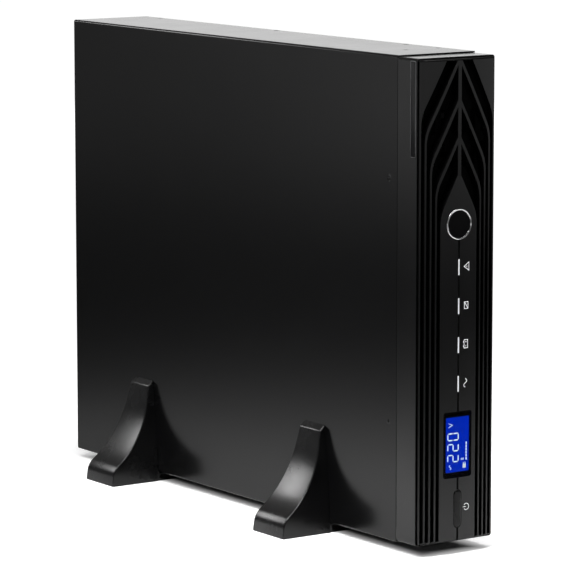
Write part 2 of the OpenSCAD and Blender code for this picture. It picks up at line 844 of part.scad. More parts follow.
module battery_door() color("#3a3c3f") difference() {
    union() {
        block([-door_half, y_front - sheet_t, z_in0 + bend_r], [door_half, y_front, door_top]);
        translate([-handle_w / 2, y_front - handle_reach, (z_in0 + z_tray_top) / 2]) {
            translate([0, 0, -handle_l / 2]) cube([handle_w, handle_t, handle_l]);
            for (z = [-handle_l / 2, handle_l / 2 - handle_foot])
                translate([0, handle_t, z]) cube([handle_w, handle_reach - handle_t, handle_foot]);
        }
    }
    door_screw_sites() bar_y(door_screw_r + screw_gap, y_front - 2 * sheet_t, y_front + over);
}

module door_screws() color("silver") door_screw_sites() {
    bar_y(door_screw_head_r, y_front - sheet_t - door_screw_head_t, y_front - sheet_t);
    bar_y(door_screw_r, y_front - sheet_t - over, y_front + door_screw_len);
}

// Electronics
module main_board() color("#1f5a34")
    block([x_board, board_y0, main_z0], [x_board + pcb_t, board_y1, main_z1]);

module board_standoffs() color("#c9a24a")
    for (y = [board_y0 + standoff_in[0], (board_y0 + board_y1) / 2, board_y1 - standoff_in[0]],
        z = [main_z0 + standoff_in[1], main_z1 - standoff_in[1]])
        translate([x_board + pcb_t, y, z]) rotate([0, 90, 0]) cylinder(r = standoff_r, h = standoff_h);

module heatsinks() color("#9a9da1") for (z = sink_zs) {
    block([x_board - sink_h, sink_y, z], [x_board, sink_y + sink_l, z + sink_spine]);
    for (i = [0:fin_count - 1])
        translate([x_board - sink_h + i * fin_pitch, sink_y, z + sink_spine - over])
            cube([fin_t, sink_l, sink_fin + over]);
}

module power_transistors() color("#202020") for (z = sink_zs, i = [0:transistor_count - 1])
    translate([x_board - transistor_lift - transistor[0], sink_y + transistor_in + i * transistor_pitch,
        z - transistor[2]]) cube(transistor);

module bus_capacitors() color("#23262e") for (i = [0:2], j = [0, 1])
    translate([x_board - cap_h, cap_y0 - j * (2 * cap_r + cap_gap[0]),
        main_zm + (i - 1) * (2 * cap_r + cap_gap[1])]) rotate([0, 90, 0]) cylinder(r = cap_r, h = cap_h);

module power_chokes() color("#8a4b22") for (s = [-1, 1])
    translate([x_board - choke_h, choke_y, main_zm + s * (choke_r + choke_apart)])
        rotate([0, 90, 0]) difference() {
            cylinder(r = choke_r, h = choke_h);
            translate([0, 0, -over]) cylinder(r = choke_bore_r, h = choke_h + 2 * over);
        }

module charger_transformer() color("#c8b037")
    translate([x_board, board_y0 + coil_at[0], main_z0 + coil_at[1]]) {
        translate([-coil_core / 2, 0, 0]) cube(coil_core, center = true);
        translate([-coil_lift - coil_winding[0] / 2, 0, 0]) cube(coil_winding, center = true);
    }

module relays() color("#2d4f8c") for (i = [0:relay_count - 1])
    translate([x_board - relay[0], board_y0 + relay_at[0] + i * relay_pitch - relay[1] / 2,
        main_z1 - relay_at[1] - relay[2] / 2]) cube(relay);

module control_board() color("#1f5a34")
    translate([x_board, board_y0 + control_at[0], main_zm + control_at[1]]) {
        block([-control_w, 0, 0], [0, control_l, pcb_t]);
        translate([0, 0, pcb_t - over]) {
            translate(chip_large_at) cube(chip_large + [0, 0, over]);
            translate([chip_small_x, control_l - chip_small_end]) cube(chip_small + [0, 0, over]);
            translate([header_x, header_in[0]])
                cube([header_w, control_l - header_in[0] - header_in[1], header_h + over]);
        }
    }

module filter_board() color("#1f5a34") {
    y = y_panel_in - socket_depth;
    block([-x_in + filter_side, y - pcb_t, strip_at - strip_h / 2],
        [x_in - filter_side, y, strip_at + strip_h / 2]);
    for (s = [-1, 1]) translate([s * filter_coil_x, 0, strip_at])
        bar_y(filter_coil_r, y - pcb_t - filter_coil_h, y - pcb_t + over / 2);
}

// Fans
module fan_corner_sites() {
    for (sx = [-1, 1], sz = [-1, 1]) translate([sx, 0, sz] * fan_hole_pitch / 2) children();
}

module fan_frame(z) color("#17181a") translate([0, 0, z]) {
    y0 = y_panel_in - fan_d;
    difference() {
        along_y(y0, y_panel_in) difference() {
            rounded(fan_s, fan_s, fan_corner_r);
            circle(fan_bore_r);
        }
        fan_corner_sites() bar_y(fan_screw_r + fan_screw_gap, y0 - over, y_panel_in + over);
    }
    difference() {
        union() {
            bar_y(fan_hub_r, y_panel_in - fan_strut_t, y_panel_in);
            for (a = [45:90:315]) rotate([0, a, 0])
                block([fan_hub_r - over, y_panel_in - fan_strut_t, -fan_strut_w / 2],
                    [fan_bore_r + over, y_panel_in, fan_strut_w / 2]);
            bar_y(bearing_r, y0 + bearing_in, y_panel_in - fan_strut_t + over);
        }
        bar_y(fan_shaft_r + shaft_gap, y0, y_panel_in - over);
    }
}

// The rotor's hub is a cup over the bearing tube, and its blades are pitched plates
module fan_rotor(z) color("#202224") translate([0, 0, z]) {
    y0 = y_panel_in - fan_d + rotor_in;
    y1 = y_panel_in - fan_strut_t - rotor_gap;
    tip_r = fan_bore_r - fan_tip_gap;
    difference() {
        bar_y(fan_hub_r, y0, y1);
        bar_y(fan_hub_r - hub_wall, y0 + hub_face, y1 + over);
    }
    bar_y(fan_shaft_r, y0 + over, y1);
    difference() {
        for (i = [0:fan_blades - 1]) rotate([0, i * 360 / fan_blades, 0])
            translate([0, (y0 + y1) / 2, 0]) rotate([blade_pitch, 0, 0])
                block([fan_hub_r - over, -blade_t / 2, -blade_chord / 2],
                    [tip_r + blade_spare, blade_t / 2, blade_chord / 2]);
        difference() {
            bar_y(2 * fan_s, y0 - fan_d, y1 + fan_d);
            bar_y(tip_r, y0 - fan_d - over, y1 + fan_d + over);
        }
        bar_y(fan_hub_r - blade_root, y0 - fan_d, y1 + fan_d);
    }
}

module upper_fan_frame() fan_frame(fan_zs[1]);
module lower_fan_frame() fan_frame(fan_zs[0]);
module upper_fan_rotor() fan_rotor(fan_zs[1]);
module lower_fan_rotor() fan_rotor(fan_zs[0]);

// Finger guard: rings on two crossed bars whose ends carry flat eyes
module fan_guards() color("#8d9094") for (z = fan_zs) translate([0, 0, z]) difference() {
    union() {
        along_y(y_panel, y_panel + guard_t) for (r = guard_rings) difference() {
            circle(r + guard_wire_r);
            circle(r - guard_wire_r);
        }
        for (a = [45, 135]) rotate([0, a, 0])
            block([-fan_hole_pitch / sqrt(2), y_panel, -guard_wire_r],
                [fan_hole_pitch / sqrt(2), y_panel + guard_t, guard_wire_r]);
        fan_corner_sites() bar_y(guard_eye_r, y_panel, y_panel + guard_t);
    }
    fan_corner_sites() bar_y(fan_screw_r + fan_screw_gap, y_panel - over, y_panel + guard_t + over);
}

module fan_screws() color("#222326") for (z = fan_zs) translate([0, 0, z]) fan_corner_sites() {
    bar_y(fan_screw_head_r, y_panel + guard_t, y_panel + guard_t + fan_screw_head_t);
    bar_y(fan_screw_r, y_panel_in - fan_screw_len, y_panel + guard_t + over);
}

// Rear panel and its fittings
module rear_cut(x, z, w, h) {
    along_y(y_panel_in - over, y_panel + over)
        translate([x, z]) square([w + 2 * lap_gap, h + 2 * lap_gap], center = true);
}

module slot_screw_sites() {
    for (s = [-1, 1]) translate([s * slot_screw_x, 0, slot_at]) children();
}

module rear_panel() color("#232427") difference() {
    along_y(y_panel_in, y_panel) sheet_2d();
    for (z = fan_zs) translate([0, 0, z]) {
        bar_y(fan_bore_r, y_panel_in - over, y_panel + over);
        fan_corner_sites() bar_y(fan_screw_r + fan_screw_gap, y_panel_in - over, y_panel + over);
    }
    rear_cut(-socket_x, inlet_at, socket_w, socket_hgt);
    rear_cut(socket_x, inlet_at, socket_w, socket_hgt);
    rear_cut(-socket_x, large_outlet_at, socket_w, socket_hgt);
    for (s = [-1, 1]) rear_cut(s * socket_x, strip_at, strip_w - 2 * socket_lip, strip_h - 2 * socket_lip);
    rear_cut(port_x[0], port_at, serial_cut[0], serial_cut[1]);
    rear_cut(port_x[1], port_at, usb_size[0], usb_size[1]);
    rear_cut(port_x[2], port_at, terminal_size[0], terminal_size[1]);
    rear_cut(0, slot_at, slot_w, slot_h);
    translate([breaker_x, 0, large_outlet_at])
        bar_y(breaker_neck_r + lap_gap, y_panel_in - over, y_panel + over);
    translate([earth_x, 0, large_outlet_at])
        bar_y(earth_r + earth_gap, y_panel_in - over, y_panel + over);
    slot_screw_sites() bar_y(slot_screw_r + screw_gap, y_panel_in - over, y_panel + over);
}

// Flanged socket body in its panel cut-out
module socket_body(w, h) {
    along_y(y_panel_in - socket_depth, y_panel + lap_gap) square([w, h], center = true);
    along_y(y_panel, y_panel + flange_t) rounded(w + 2 * socket_lip, h + 2 * socket_lip, socket_r);
}

module mains_inlet() color("#101113") translate([-socket_x, 0, inlet_at]) difference() {
    socket_body(socket_w, socket_hgt);
    along_y(y_panel + flange_t - inlet_depth, y_panel + flange_t + over) keyed(inlet_w, inlet_h, key_cut);
}

module inlet_blades() color("silver") translate([-socket_x, 0, inlet_at]) for (p = blade_at)
    block([p[0] - blade_w / 2, y_panel + flange_t - inlet_depth, p[1] - blade_h / 2],
        [p[0] + blade_w / 2, y_panel + flange_t - blade_short, p[1] + blade_h / 2]);

// Outlet face: a moat round a core that has three slots
module outlet_cuts(core, slot, depth) {
    y1 = y_panel + flange_t;
    along_y(y1 - depth, y1 + over) difference() {
        keyed(core[0] + 2 * moat_w, core[1] + 2 * moat_w, moat_cut);
        keyed(core[0], core[1], key_cut);
    }
    for (p = [[-core[0] * 0.28, -core[1] * 0.15], [core[0] * 0.28, -core[1] * 0.15], [0, core[1] * 0.2]])
        along_y(y1 - depth, y1 + over) translate(p) square(slot, center = true);
}

module large_outlet() color("#101113") translate([-socket_x, 0, large_outlet_at]) difference() {
    socket_body(socket_w, socket_hgt);
    outlet_cuts(large_core, large_slot, large_depth);
}

module outlet_strips() color("#101113") for (s = [-1, 1])
    translate([s * socket_x, 0, strip_at]) difference() {
        socket_body(strip_w - 2 * socket_lip, strip_h - 2 * socket_lip);
        for (i = [0:outlet_rows - 1]) translate([0, 0, (i - (outlet_rows - 1) / 2) * outlet_pitch])
            outlet_cuts(outlet_core, outlet_slot, outlet_depth);
    }

module breaker_body() color("#1a1b1d") translate([breaker_x, 0, large_outlet_at]) difference() {
    union() {
        along_y(y_panel_in - socket_depth, y_panel_in) square([breaker_w, breaker_h], center = true);
        bar_y(breaker_neck_r, y_panel_in - over, y_panel + breaker_neck_l);
        rotate([0, 30, 0]) along_y(y_panel, y_panel + breaker_nut_t) circle(breaker_nut_r, $fn = 6);
    }
    bar_y(breaker_r + breaker_bore, y_panel_in - breaker_travel - breaker_root,
        y_panel + breaker_neck_l + over);
}

module breaker_button() color("#b21f1f") translate([breaker_x, 0, large_outlet_at])
    bar_y(breaker_r, y_panel_in - breaker_root, y_rear + breaker_reach);

module usb_port() color("silver") translate([port_x[1], 0, port_at]) {
    difference() {
        along_y(y_panel_in - usb_back, y_panel + usb_out) square(usb_size, center = true);
        along_y(y_panel_in - usb_hollow, y_panel + usb_out + over)
            square([usb_size[0] - 2 * usb_wall, usb_size[1] - 2 * usb_wall], center = true);
    }
    along_y(y_panel_in - usb_hollow - over, y_panel - usb_tongue_in) square(usb_tongue, center = true);
}

module serial_port() color("silver") translate([port_x[0], 0, port_at]) {
    along_y(y_panel, y_panel + serial_flange_t) square(serial_flange, center = true);
    along_y(y_panel_in - serial_back, y_panel + serial_out) polygon([[-serial_top, serial_h] / 2,
        [serial_top, serial_h] / 2, [serial_low, -serial_h] / 2, [-serial_low, -serial_h] / 2]);
    for (s = [-1, 1]) translate([s * serial_post_x, 0, 0]) rotate([0, 30, 0])
        along_y(y_panel + serial_flange_t / 2, y_panel + serial_post_l) circle(serial_post_r, $fn = 6);
}

module power_off_terminal() color("#2f8f4e") translate([port_x[2], 0, port_at]) difference() {
    along_y(y_panel_in - terminal_back, y_panel + terminal_out) square(terminal_size, center = true);
    along_y(y_panel + terminal_out - terminal_depth, y_panel + terminal_out + over)
        for (s = [-1, 1]) translate([s * terminal_pitch / 2, 0]) square(terminal_hole, center = true);
}

module slot_cover() color("#2b2c2f") difference() {
    along_y(y_panel, y_panel + sheet_t) translate([0, slot_at])
        rounded(slot_cover_w, slot_cover_h, slot_cover_r);
    slot_screw_sites() bar_y(slot_screw_r + screw_gap, y_panel - over, y_panel + 2 * sheet_t);
}

module slot_screws() color("silver") slot_screw_sites() {
    bar_y(slot_head_r, y_panel + sheet_t, y_panel + sheet_t + slot_head_t);
    bar_y(slot_screw_r, y_panel_in - slot_screw_len, y_panel + sheet_t + over);
}

module battery_socket() color("#8a1d1d") translate([socket_x, 0, inlet_at]) difference() {
    socket_body(socket_w, socket_hgt);
    along_y(y_panel + flange_t - pole_depth, y_panel + flange_t + over)
        for (s = [-1, 1]) translate([s * pole_x, 0]) square([pole_w, pole_h], center = true);
}

module earth_screw() color("#c9a24a") translate([earth_x, 0, large_outlet_at]) {
    bar_y(earth_washer_r, y_panel, y_panel + earth_washer_t);
    rotate([0, 30, 0]) along_y(y_panel + earth_washer_t / 2, y_panel + earth_washer_t + earth_nut_t)
        circle(earth_nut_r, $fn = 6);
    bar_y(earth_r, y_panel_in - earth_len, y_panel + earth_washer_t);
}

// Bezel
module bezel_frame() color("#1a1b1d") {
    difference() {
        along_y(y_rim, y_front) translate([0, z_mid]) rounded(case_w, bezel_h, bezel_r);
        along_y(y_seat, y_front + over) translate([0, z_mid])
            square([case_w - 2 * bezel_wall, bezel_h - 2 * bezel_wall], center = true);
        along_y(y_rim - over, y_seat + over / 2) translate([0, z_mid])
            rounded(case_w - 2 * rim_lip, bezel_h - 2 * rim_lip, bezel_r - rim_lip);
    }
    for (s = [-1, 1], z = [z_bot + peg_in, z_top - peg_in]) {
        along_y(y_backing + peg_block_in, y_front) translate([s * (peg_x + bezel_wall / 4), z])
            square([2 * peg_r + bezel_wall / 2, peg_block_h], center = true);
        translate([s * peg_x, 0, z]) bar_y(peg_r, y_front - over, y_front + peg_len);
    }
}

// Edge of a slanted rib in X and Z: down from the midrib, round the turn, and upright to the grooves' end
function rib_edge(tip, x) = let (
        x_turn = x - leaf_turn_r * (1 - cos(leaf_lean)),
        z_turn = tip - x_turn / tan(leaf_lean),
        centre = [x - leaf_turn_r, z_turn - leaf_turn_r * sin(leaf_lean)])
    concat([[midrib_w / 2, tip - midrib_w / 2 / tan(leaf_lean)]],
        arc(centre, leaf_turn_r, leaf_lean, 0, 8), [[x, groove_low]]);

function groove_out_x(i) = panel_half + (i + 1) * groove_pitch - rib_low_w;
function groove_out_tip(i) = i < len(rib_tips) ? rib_tips[i] - rib_half_drop : outer_tip;
function groove_in_x(i) = panel_half + i * groove_pitch;
function groove_in_tip(i) = i > 0 ? rib_tips[i - 1] + rib_half_drop : panel_tip;

module grooves_2d() {
    intersection() {
        for (i = [0:len(rib_tips)], s = [0, 1]) mirror([s, 0])
            polygon(concat(rib_edge(groove_out_tip(i), groove_out_x(i)),
                reversed(rib_edge(groove_in_tip(i), groove_in_x(i)))));
        translate([-fascia_half, 0]) square([2 * fascia_half, fascia_z1 - z_bot - groove_top]);
    }
}

module panel_2d(gap = 0) {
    edge = rib_edge(panel_tip, panel_half);
    right = concat([for (p = edge) if (p[1] > groove_low) p + [gap, gap]],
        [[panel_half + gap, fascia_z0 - z_bot - gap]]);
    polygon(concat(right, reversed([for (p = right) [-p[0], p[1]]])));
}

// Upright drum whose side is the fascia's bowed face, with rounded rims
module drum() {
    h = fascia_z1 - fascia_z0;
    translate([0, y_crown + bow_r, fascia_z0]) rotate_extrude($fn = 180) {
        square([bow_r - fascia_edge_r, h]);
        translate([0, fascia_edge_r]) square([bow_r, h - 2 * fascia_edge_r]);
        for (z = [fascia_edge_r, h - fascia_edge_r])
            translate([bow_r - fascia_edge_r, z]) circle(fascia_edge_r);
    }
}

// Everything in front of the fascia's seat and behind its bowed face
module bowed() {
    intersection() {
        along_y(y_crown - over, y_seat) translate([0, z_bot]) children();
        drum();
    }
}

module fascia() color("#202123") bowed() difference() {
    translate([0, (fascia_z0 + fascia_z1) / 2 - z_bot])
        rounded(2 * fascia_half, fascia_z1 - fascia_z0, bezel_r - rim_lip);
    grooves_2d();
    panel_2d(insert_gap);
}

module control_panel() color("#2b2c2e") difference() {
    bowed() difference() {
        panel_2d();
        translate([0, lcd_z]) rounded(lcd_w, lcd_h, lcd_r);
        translate([0, button_z]) pill(button_w + 2 * button_gap, button_l + 2 * button_gap);
        for (z = light_zs) translate([0, z - z_bot]) square([light_w, light_l], center = true);
    }
    translate([0, 0, z_bot + badge_z]) bar_y(badge_r + insert_gap, y_crown - over, y_crown + badge_depth);
    block([-line_w / 2, y_crown - over, fascia_z0 - over],
        [line_w / 2, y_crown + line_depth, z_bot + badge_z]);
}

module grille_backing() color("#0d0e0f") difference() {
    union() {
        along_y(y_seat, y_backing) translate([0, z_mid])
            square([case_w, bezel_h] - 2 * (bezel_wall + lap_gap) * [1, 1], center = true);
        for (s = [-1, 1], z = boss_zs)
            translate([s * boss_x, 0, z]) bar_y(boss_r, y_backing - over, y_board);
    }
    along_y(y_seat - over, y_backing + over) {
        translate([0, z_bot + lcd_z]) square([lcd_w, lcd_h], center = true);
        translate([0, z_bot + button_z]) pill(button_w + 2 * button_gap, button_l + 2 * button_gap);
        for (z = light_zs) translate([0, z]) square([light_w, light_l], center = true);
        for (x = [-hole_span:hole_pitch_x:hole_span],
            z = [panel_tip + hole_low:hole_pitch_z:case_h - hole_high])
            translate([x, z_bot + z]) rounded(hole_w, hole_h, hole_r);
    }
}

module badge_ring() color("silver") translate([0, y_crown, z_bot + badge_z]) rotate([90, 0, 0])
    rotate_extrude() polygon([[badge_r - badge_ring_w, -badge_depth], [badge_r, -badge_depth],
        [badge_r, ring_edge], [badge_r - badge_ring_w / 3, ring_crest], [badge_r - badge_ring_w, ring_edge]]);

module badge_disc() color("black") translate([0, 0, z_bot + badge_z])
    bar_y(badge_r - badge_ring_w - insert_gap, y_crown + ring_edge, y_crown + badge_depth);

module light_bars() color("white") for (z = light_zs)
    block([-light_w / 2 + insert_gap, y_crown, z - light_l / 2 + insert_gap],
        [light_w / 2 - insert_gap, y_board - seat_gap, z + light_l / 2 - insert_gap]);

module lcd_window() color("#2a50ff", 0.5) translate([0, 0, z_bot + lcd_z])
    along_y(y_crown + lcd_recess, y_crown + lcd_recess + lcd_glass_t)
        rounded(lcd_w - 2 * insert_gap, lcd_h - 2 * insert_gap, lcd_r);

module lcd_module() color("#1230d0") translate([0, 0, z_bot + lcd_z])
    block([-lcd_w / 2 + lcd_margin, y_crown + lcd_recess + lcd_glass_t + lap_gap, -lcd_h / 2 + lcd_margin],
        [lcd_w / 2 - lcd_margin, y_board, lcd_h / 2 - lcd_margin]);

module display_board() color("#1f5a34") {
    block([-board_half, y_board, board_z0], [board_half, y_board + pcb_t, board_z1]);
    translate([0, y_board + pcb_t - over / 2, 0]) {
        translate([-plug_w / 2, 0, ribbon_z - ribbon_drop + ribbon_t / 2 - plug_h / 2])
            cube([plug_w, plug_t + over / 2, plug_h]);
        translate([-chip_w / 2, 0, z_bot + light_z]) cube([chip_w, chip_t + over / 2, chip_w]);
    }
}

module button_switch() color("#33353a")
    translate([0, 0, z_bot + button_z])
        block([-switch_w / 2, y_board - switch_h, -switch_w / 2], [switch_w / 2, y_board, switch_w / 2]);

module power_button() color("#222325") translate([0, 0, z_bot + button_z]) {
    along_y(y_crown - button_proud, y_button_back) pill(button_w, button_l);
    along_y(y_button_back - button_flange_t, y_button_back)
        pill(button_w + 2 * button_flange_w, button_l + 2 * button_flange_w);
}

// Flat ribbon in square folds, from the display board's connector to the control board
module ribbon_cable() color("#b9bcc4") {
    y_plug = y_board + pcb_t + plug_t;
    fold_y = [for (d = ribbon_fold) y_plug + d];
    fold_low = ribbon_z - ribbon_drop;
    fold_top = ribbon_z + ribbon_rise;
    legs = [[[y_plug + lap_gap, fold_low], [fold_y[0], fold_low]],
        [[fold_y[0], fold_low], [fold_y[0], fold_top]],
        [[fold_y[0], fold_top], [fold_y[1], fold_top]],
        [[fold_y[1], ribbon_z], [fold_y[1], fold_top]],
        [[fold_y[1], ribbon_z], [board_y0 + ribbon_reach, ribbon_z]]];
    for (leg = legs) block([-ribbon_w / 2, leg[0][0], leg[0][1]],
        [ribbon_w / 2, leg[1][0] + ribbon_t, leg[1][1] + ribbon_t]);
}

case_cover();
chassis_base();
front_panel();
rear_panel();
bay_divider();
ear_nuts();
case_screws();
stand_front_left();
stand_front_right();
stand_rear_left();
stand_rear_right();
tray_runners();
battery_tray();
lower_batteries();
upper_batteries();
battery_straps();
battery_door();
door_screws();
main_board();
board_standoffs();
heatsinks();
power_transistors();
bus_capacitors();
power_chokes();
charger_transformer();
relays();
control_board();
filter_board();
upper_fan_frame();
lower_fan_frame();
upper_fan_rotor();
lower_fan_rotor();
fan_guards();
fan_screws();
mains_inlet();
inlet_blades();
large_outlet();
outlet_strips();
breaker_body();
breaker_button();
usb_port();
serial_port();
power_off_terminal();
slot_cover();
slot_screws();
battery_socket();
earth_screw();
bezel_frame();
fascia();
control_panel();
grille_backing();
badge_ring();
badge_disc();
light_bars();
lcd_window();
lcd_module();
display_board();
button_switch();
power_button();
ribbon_cable();
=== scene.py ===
"""Dressing for a rack and tower power supply: finishes on its solids, and the pieces they leave plain."""

import json

import bmesh
import bpy
import numpy as np
from mathutils import Matrix, Vector


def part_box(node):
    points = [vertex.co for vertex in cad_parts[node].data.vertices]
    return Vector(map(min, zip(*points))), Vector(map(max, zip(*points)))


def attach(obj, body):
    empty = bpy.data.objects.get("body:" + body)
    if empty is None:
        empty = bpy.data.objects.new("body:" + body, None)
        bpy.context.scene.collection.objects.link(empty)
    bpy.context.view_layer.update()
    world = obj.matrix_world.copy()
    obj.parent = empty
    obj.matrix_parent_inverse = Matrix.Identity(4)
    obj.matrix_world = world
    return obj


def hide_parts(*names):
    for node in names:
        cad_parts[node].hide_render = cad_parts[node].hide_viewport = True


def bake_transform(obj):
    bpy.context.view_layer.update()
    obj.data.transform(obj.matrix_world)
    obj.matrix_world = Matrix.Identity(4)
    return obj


bl_info = {
    "name": "Tower power supply dressing",
    "version": (1, 0, 0),
    "blender": (4, 5, 0),
    "location": "3D View > Sidebar > Power supply",
    "description": "Finishes, stands, guards, screw heads and display marks for a tower power supply",
    "category": "Object",
}

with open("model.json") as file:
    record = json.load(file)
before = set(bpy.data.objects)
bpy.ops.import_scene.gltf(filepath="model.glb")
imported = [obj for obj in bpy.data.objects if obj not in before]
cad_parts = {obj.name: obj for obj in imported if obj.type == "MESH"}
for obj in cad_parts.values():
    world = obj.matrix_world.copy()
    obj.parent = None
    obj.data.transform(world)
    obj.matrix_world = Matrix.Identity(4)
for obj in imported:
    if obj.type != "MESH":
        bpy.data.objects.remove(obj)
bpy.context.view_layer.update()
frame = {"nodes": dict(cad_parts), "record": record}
MM = 0.001
FLOAT, VECTOR = "NodeSocketFloat", "NodeSocketVector"
WHITE = (1.0, 1.0, 1.0, 1.0)
DUST_TONE = (0.30, 0.29, 0.28)

# Materials by name, filled by the first step
FINISH = {}

# Directions across, up and out of each face, for pieces that are drawn flat and then placed on it
FRONT = ((1, 0, 0), (0, 0, 1), (0, -1, 0))
REAR = ((-1, 0, 0), (0, 0, 1), (0, 1, 0))
LEFT = ((0, -1, 0), (0, 0, 1), (-1, 0, 0))
TOP = ((1, 0, 0), (0, 1, 0), (0, 0, 1))
UNDER = ((1, 0, 0), (0, -1, 0), (0, 0, -1))

# Places of the fans and the case screws, in millimetres
FAN_HEIGHT = {"lower_fan": 315.0, "upper_fan": 400.0}
FLANGE_SCREW_X = 38.0
FLANGE_SCREW_Y = (-162.0, 46.0, 254.0)
SIDE_SCREW_Y = -246.4
SIDE_SCREW_Z = (118.0, 338.0)

# Screw heads in millimetres: radius, dome and skirt
FLUSH_HEAD = (2.95, 0.12, 1.2)
PAN_HEAD = (3.4, 1.0, 0.8)
THUMB_HEAD = (4.0, 0.3, 4.1)

# Cross and knurl of a head as shares of its radius: half an arm's width and length, each with the run of its
# wall, the depth of the knurl and where it starts, and the count of its ridges
CROSS_WIDE = (0.14, 0.06)
CROSS_LONG = (0.60, 0.12)
THUMB_KNURL = 0.035
KNURL_FROM = 0.96
KNURL_RIDGES = 18

# Radii of a fan guard's rings and eyes, and how far short of the screws its bars stop, in millimetres
GUARD_RINGS = (13.0, 20.5, 28.0, 35.5)
GUARD_EYE = 3.1
GUARD_BAR_SHORT = 2.4

# Fan blades: depth of a root in the hub and chord at root and tip in millimetres, pitch at root and tip in
# degrees, lead of the tip in radians, and their count
BLADE_SINK = 0.4
BLADE_CHORD = (16.5, 22.5)
BLADE_PITCH = (46.0, 32.0)
BLADE_LEAD = 0.35
BLADE_COUNT = 7

# Marks of the front, in millimetres: each symbol's middle across and up, any thinner line as a share of the
# usual one, the light bars, the stops of the centre line, and the side label's middle and half sizes
SYMBOL_AT = {"power": (10.1, 41.7), "sine": (8.0, 154.4), "battery": (8.1, 189.7), "bypass": (8.5, 224.5),
             "warning": (8.7, 259.4)}
THIN_SYMBOLS = {"power": 0.75}
LIGHT_PITCH = 35.0
LIGHT_COUNT = 4
BUTTON_GAP = (23.3, 58.7)
DISPLAY_GAP = (69.2, 129.3)
BADGE_FOOT = 283.6
LABEL_MIDDLE = (-281.7, 401.0)
LABEL_HALF = (4.4, 43.0)

# Bars that a figure of the display lights
SEGMENTS = {"0": "abcdef", "2": "abged"}

# Softboxes: place and aim in metres, width and height in metres, spread and tilt in degrees
LAMPS = {
    "top": ((0.10, -0.21, 1.7), (0.10, -0.21, 0.0), (1.1, 0.8), 71.0, 0.0),
    "back": ((-0.66, 1.05, 0.65), (-0.07, -0.13, 0.05), (0.2, 0.5), 60.0, 41.0),
    "rim": ((2.3, 3.3, 1.0), (0.0, 0.0, 0.4), (3.0, 1.2), 180.0, 0.0),
    "key": ((-0.80, -0.30, 1.35), (-0.07, -0.14, 0.05), (0.4, 0.5), 50.0, 0.0),
}

# Camera at the photo's angle: its place in metres, the way it looks and the way to its right
EYE = (-1.9120, -2.7770, 0.6994)
FORWARD = (0.56427, 0.81291, -0.14415)
RIGHT = (0.82144, -0.57029, -0.00051)
SENSOR_MM = 36.0

# Glow of the floor. Towards the camera it rises over the shadow's edge and then to white, by metres outside
# the case's outline. In mirrors it rises by metres from the middle, to a level for each way round, with the
# steps between them in degrees. The surround's band has its rise and its level in mirrors.
SHADOW_EDGE = (-0.022, 0.0)
SHADOW_LEVEL = 0.45
WHITE_FROM = 0.35
MIRROR_RISE = (1.8, 4.0)
MIRROR_BEHIND, MIRROR_ASIDE, MIRROR_FRONT = 0.18, 1.25, 0.6
BEHIND_TO_ASIDE = (33.0, 46.0)
ASIDE_TO_FRONT = (60.0, 110.0)
HORIZON_RISE = 0.14
HORIZON_LEVEL = 0.16


def length(name, description, value_mm):
    """A length that a user may change, given here in millimetres."""
    return bpy.props.FloatProperty(
        name=name, description=description, default=value_mm * MM, min=0.0, precision=5, unit="LENGTH",
        subtype="DISTANCE")


def angle(name, description, value_degrees):
    """An angle that a user may change, given here in degrees."""
    return bpy.props.FloatProperty(
        name=name, description=description, default=np.radians(value_degrees), min=0.0, unit="ROTATION",
        subtype="ANGLE")


def colour(name, description, value):
    """A colour that a user may change."""
    return bpy.props.FloatVectorProperty(
        name=name, description=description, default=value, size=3, min=0.0, max=1.0, subtype="COLOR")


def power(name, description, value):
    """A lamp's power that a user may change."""
    return bpy.props.FloatProperty(
        name=name, description=description, default=value, min=0.0, subtype="POWER")


def number(name, description, value, low=0.0):
    """A plain number that a user may change."""
    return bpy.props.FloatProperty(name=name, description=description, default=value, min=low)


class StandSizes(bpy.types.PropertyGroup):
    """Sizes of the four stand halves"""

    reach: length("Reach", "Way from the upright's foot out to the toe", 53.0)
    thickness: length("Top thickness", "Thickness of the upright at its top", 5.4)
    shoulder: length("Shoulder", "Height from which the upright's thickness and width are given", 94.8)
    sweep_height: length("Sweep height", "Height at which the upright starts to sweep out", 80.0)
    sweep_radius: length("Sweep radius", "Radius of the sweep", 98.5)
    nose_radius: length("Nose radius", "Rounding between the fall and the toe", 17.0)
    foot_width: length("Foot width", "Width at the floor", 49.8)
    top_width: length("Top width", "Width at the shoulder", 32.8)
    lean: angle("Lean", "Lean of the upright below its top", 11.0)
    fall: angle("Fall", "Slope of the straight stretch below the sweep", 38.0)
    draft: angle("Draft", "Lean of the toe's face", 7.0)
    taper: number("Taper", "How late a stand narrows towards its top: 1 is a straight taper", 1.5, 1.0)
    roof: angle("Roof", "Slope of the upright's top", 42.0)
    roof_height: length("Roof height", "Height of the roof where it meets the case", 99.6)
    roof_radius: length("Roof radius", "Rounding between the roof and the upright", 2.6)
    edge_radius: length("Edge radius", "Rounding where the swept face meets the sides", 1.3)
    top_corner: length("Top corner", "Rounding of the upright's two top corners", 1.6)
    foot_radius: length("Foot radius", "Rounding along the floor", 0.9)
    plate_radius: length("Plate radius", "Rounding of the plate under the case", 1.2)
    plate_half: length("Plate half length", "Half the length of the plate under the case", 21.6)
    plate_corner: length("Plate corner", "Rounding of the plate's corners", 1.5)
    plate_thickness: length("Plate thickness", "Thickness of the plate under the case", 9.0)
    plate_gap: length("Plate gap", "Gap between the plates of two halves", 0.2)
    tongue_length: length("Tongue length", "Length of the tongue that joins two halves", 18.0)
    tongue_width: length("Tongue width", "Width of the tongue", 20.0)
    tongue_thickness: length("Tongue thickness", "Thickness of the tongue", 4.0)
    tongue_middle: length("Tongue middle", "Way of the tongue's middle past the case's middle", 7.0)
    tongue_rise: length("Tongue rise", "Height of the tongue over the floor", 2.5)


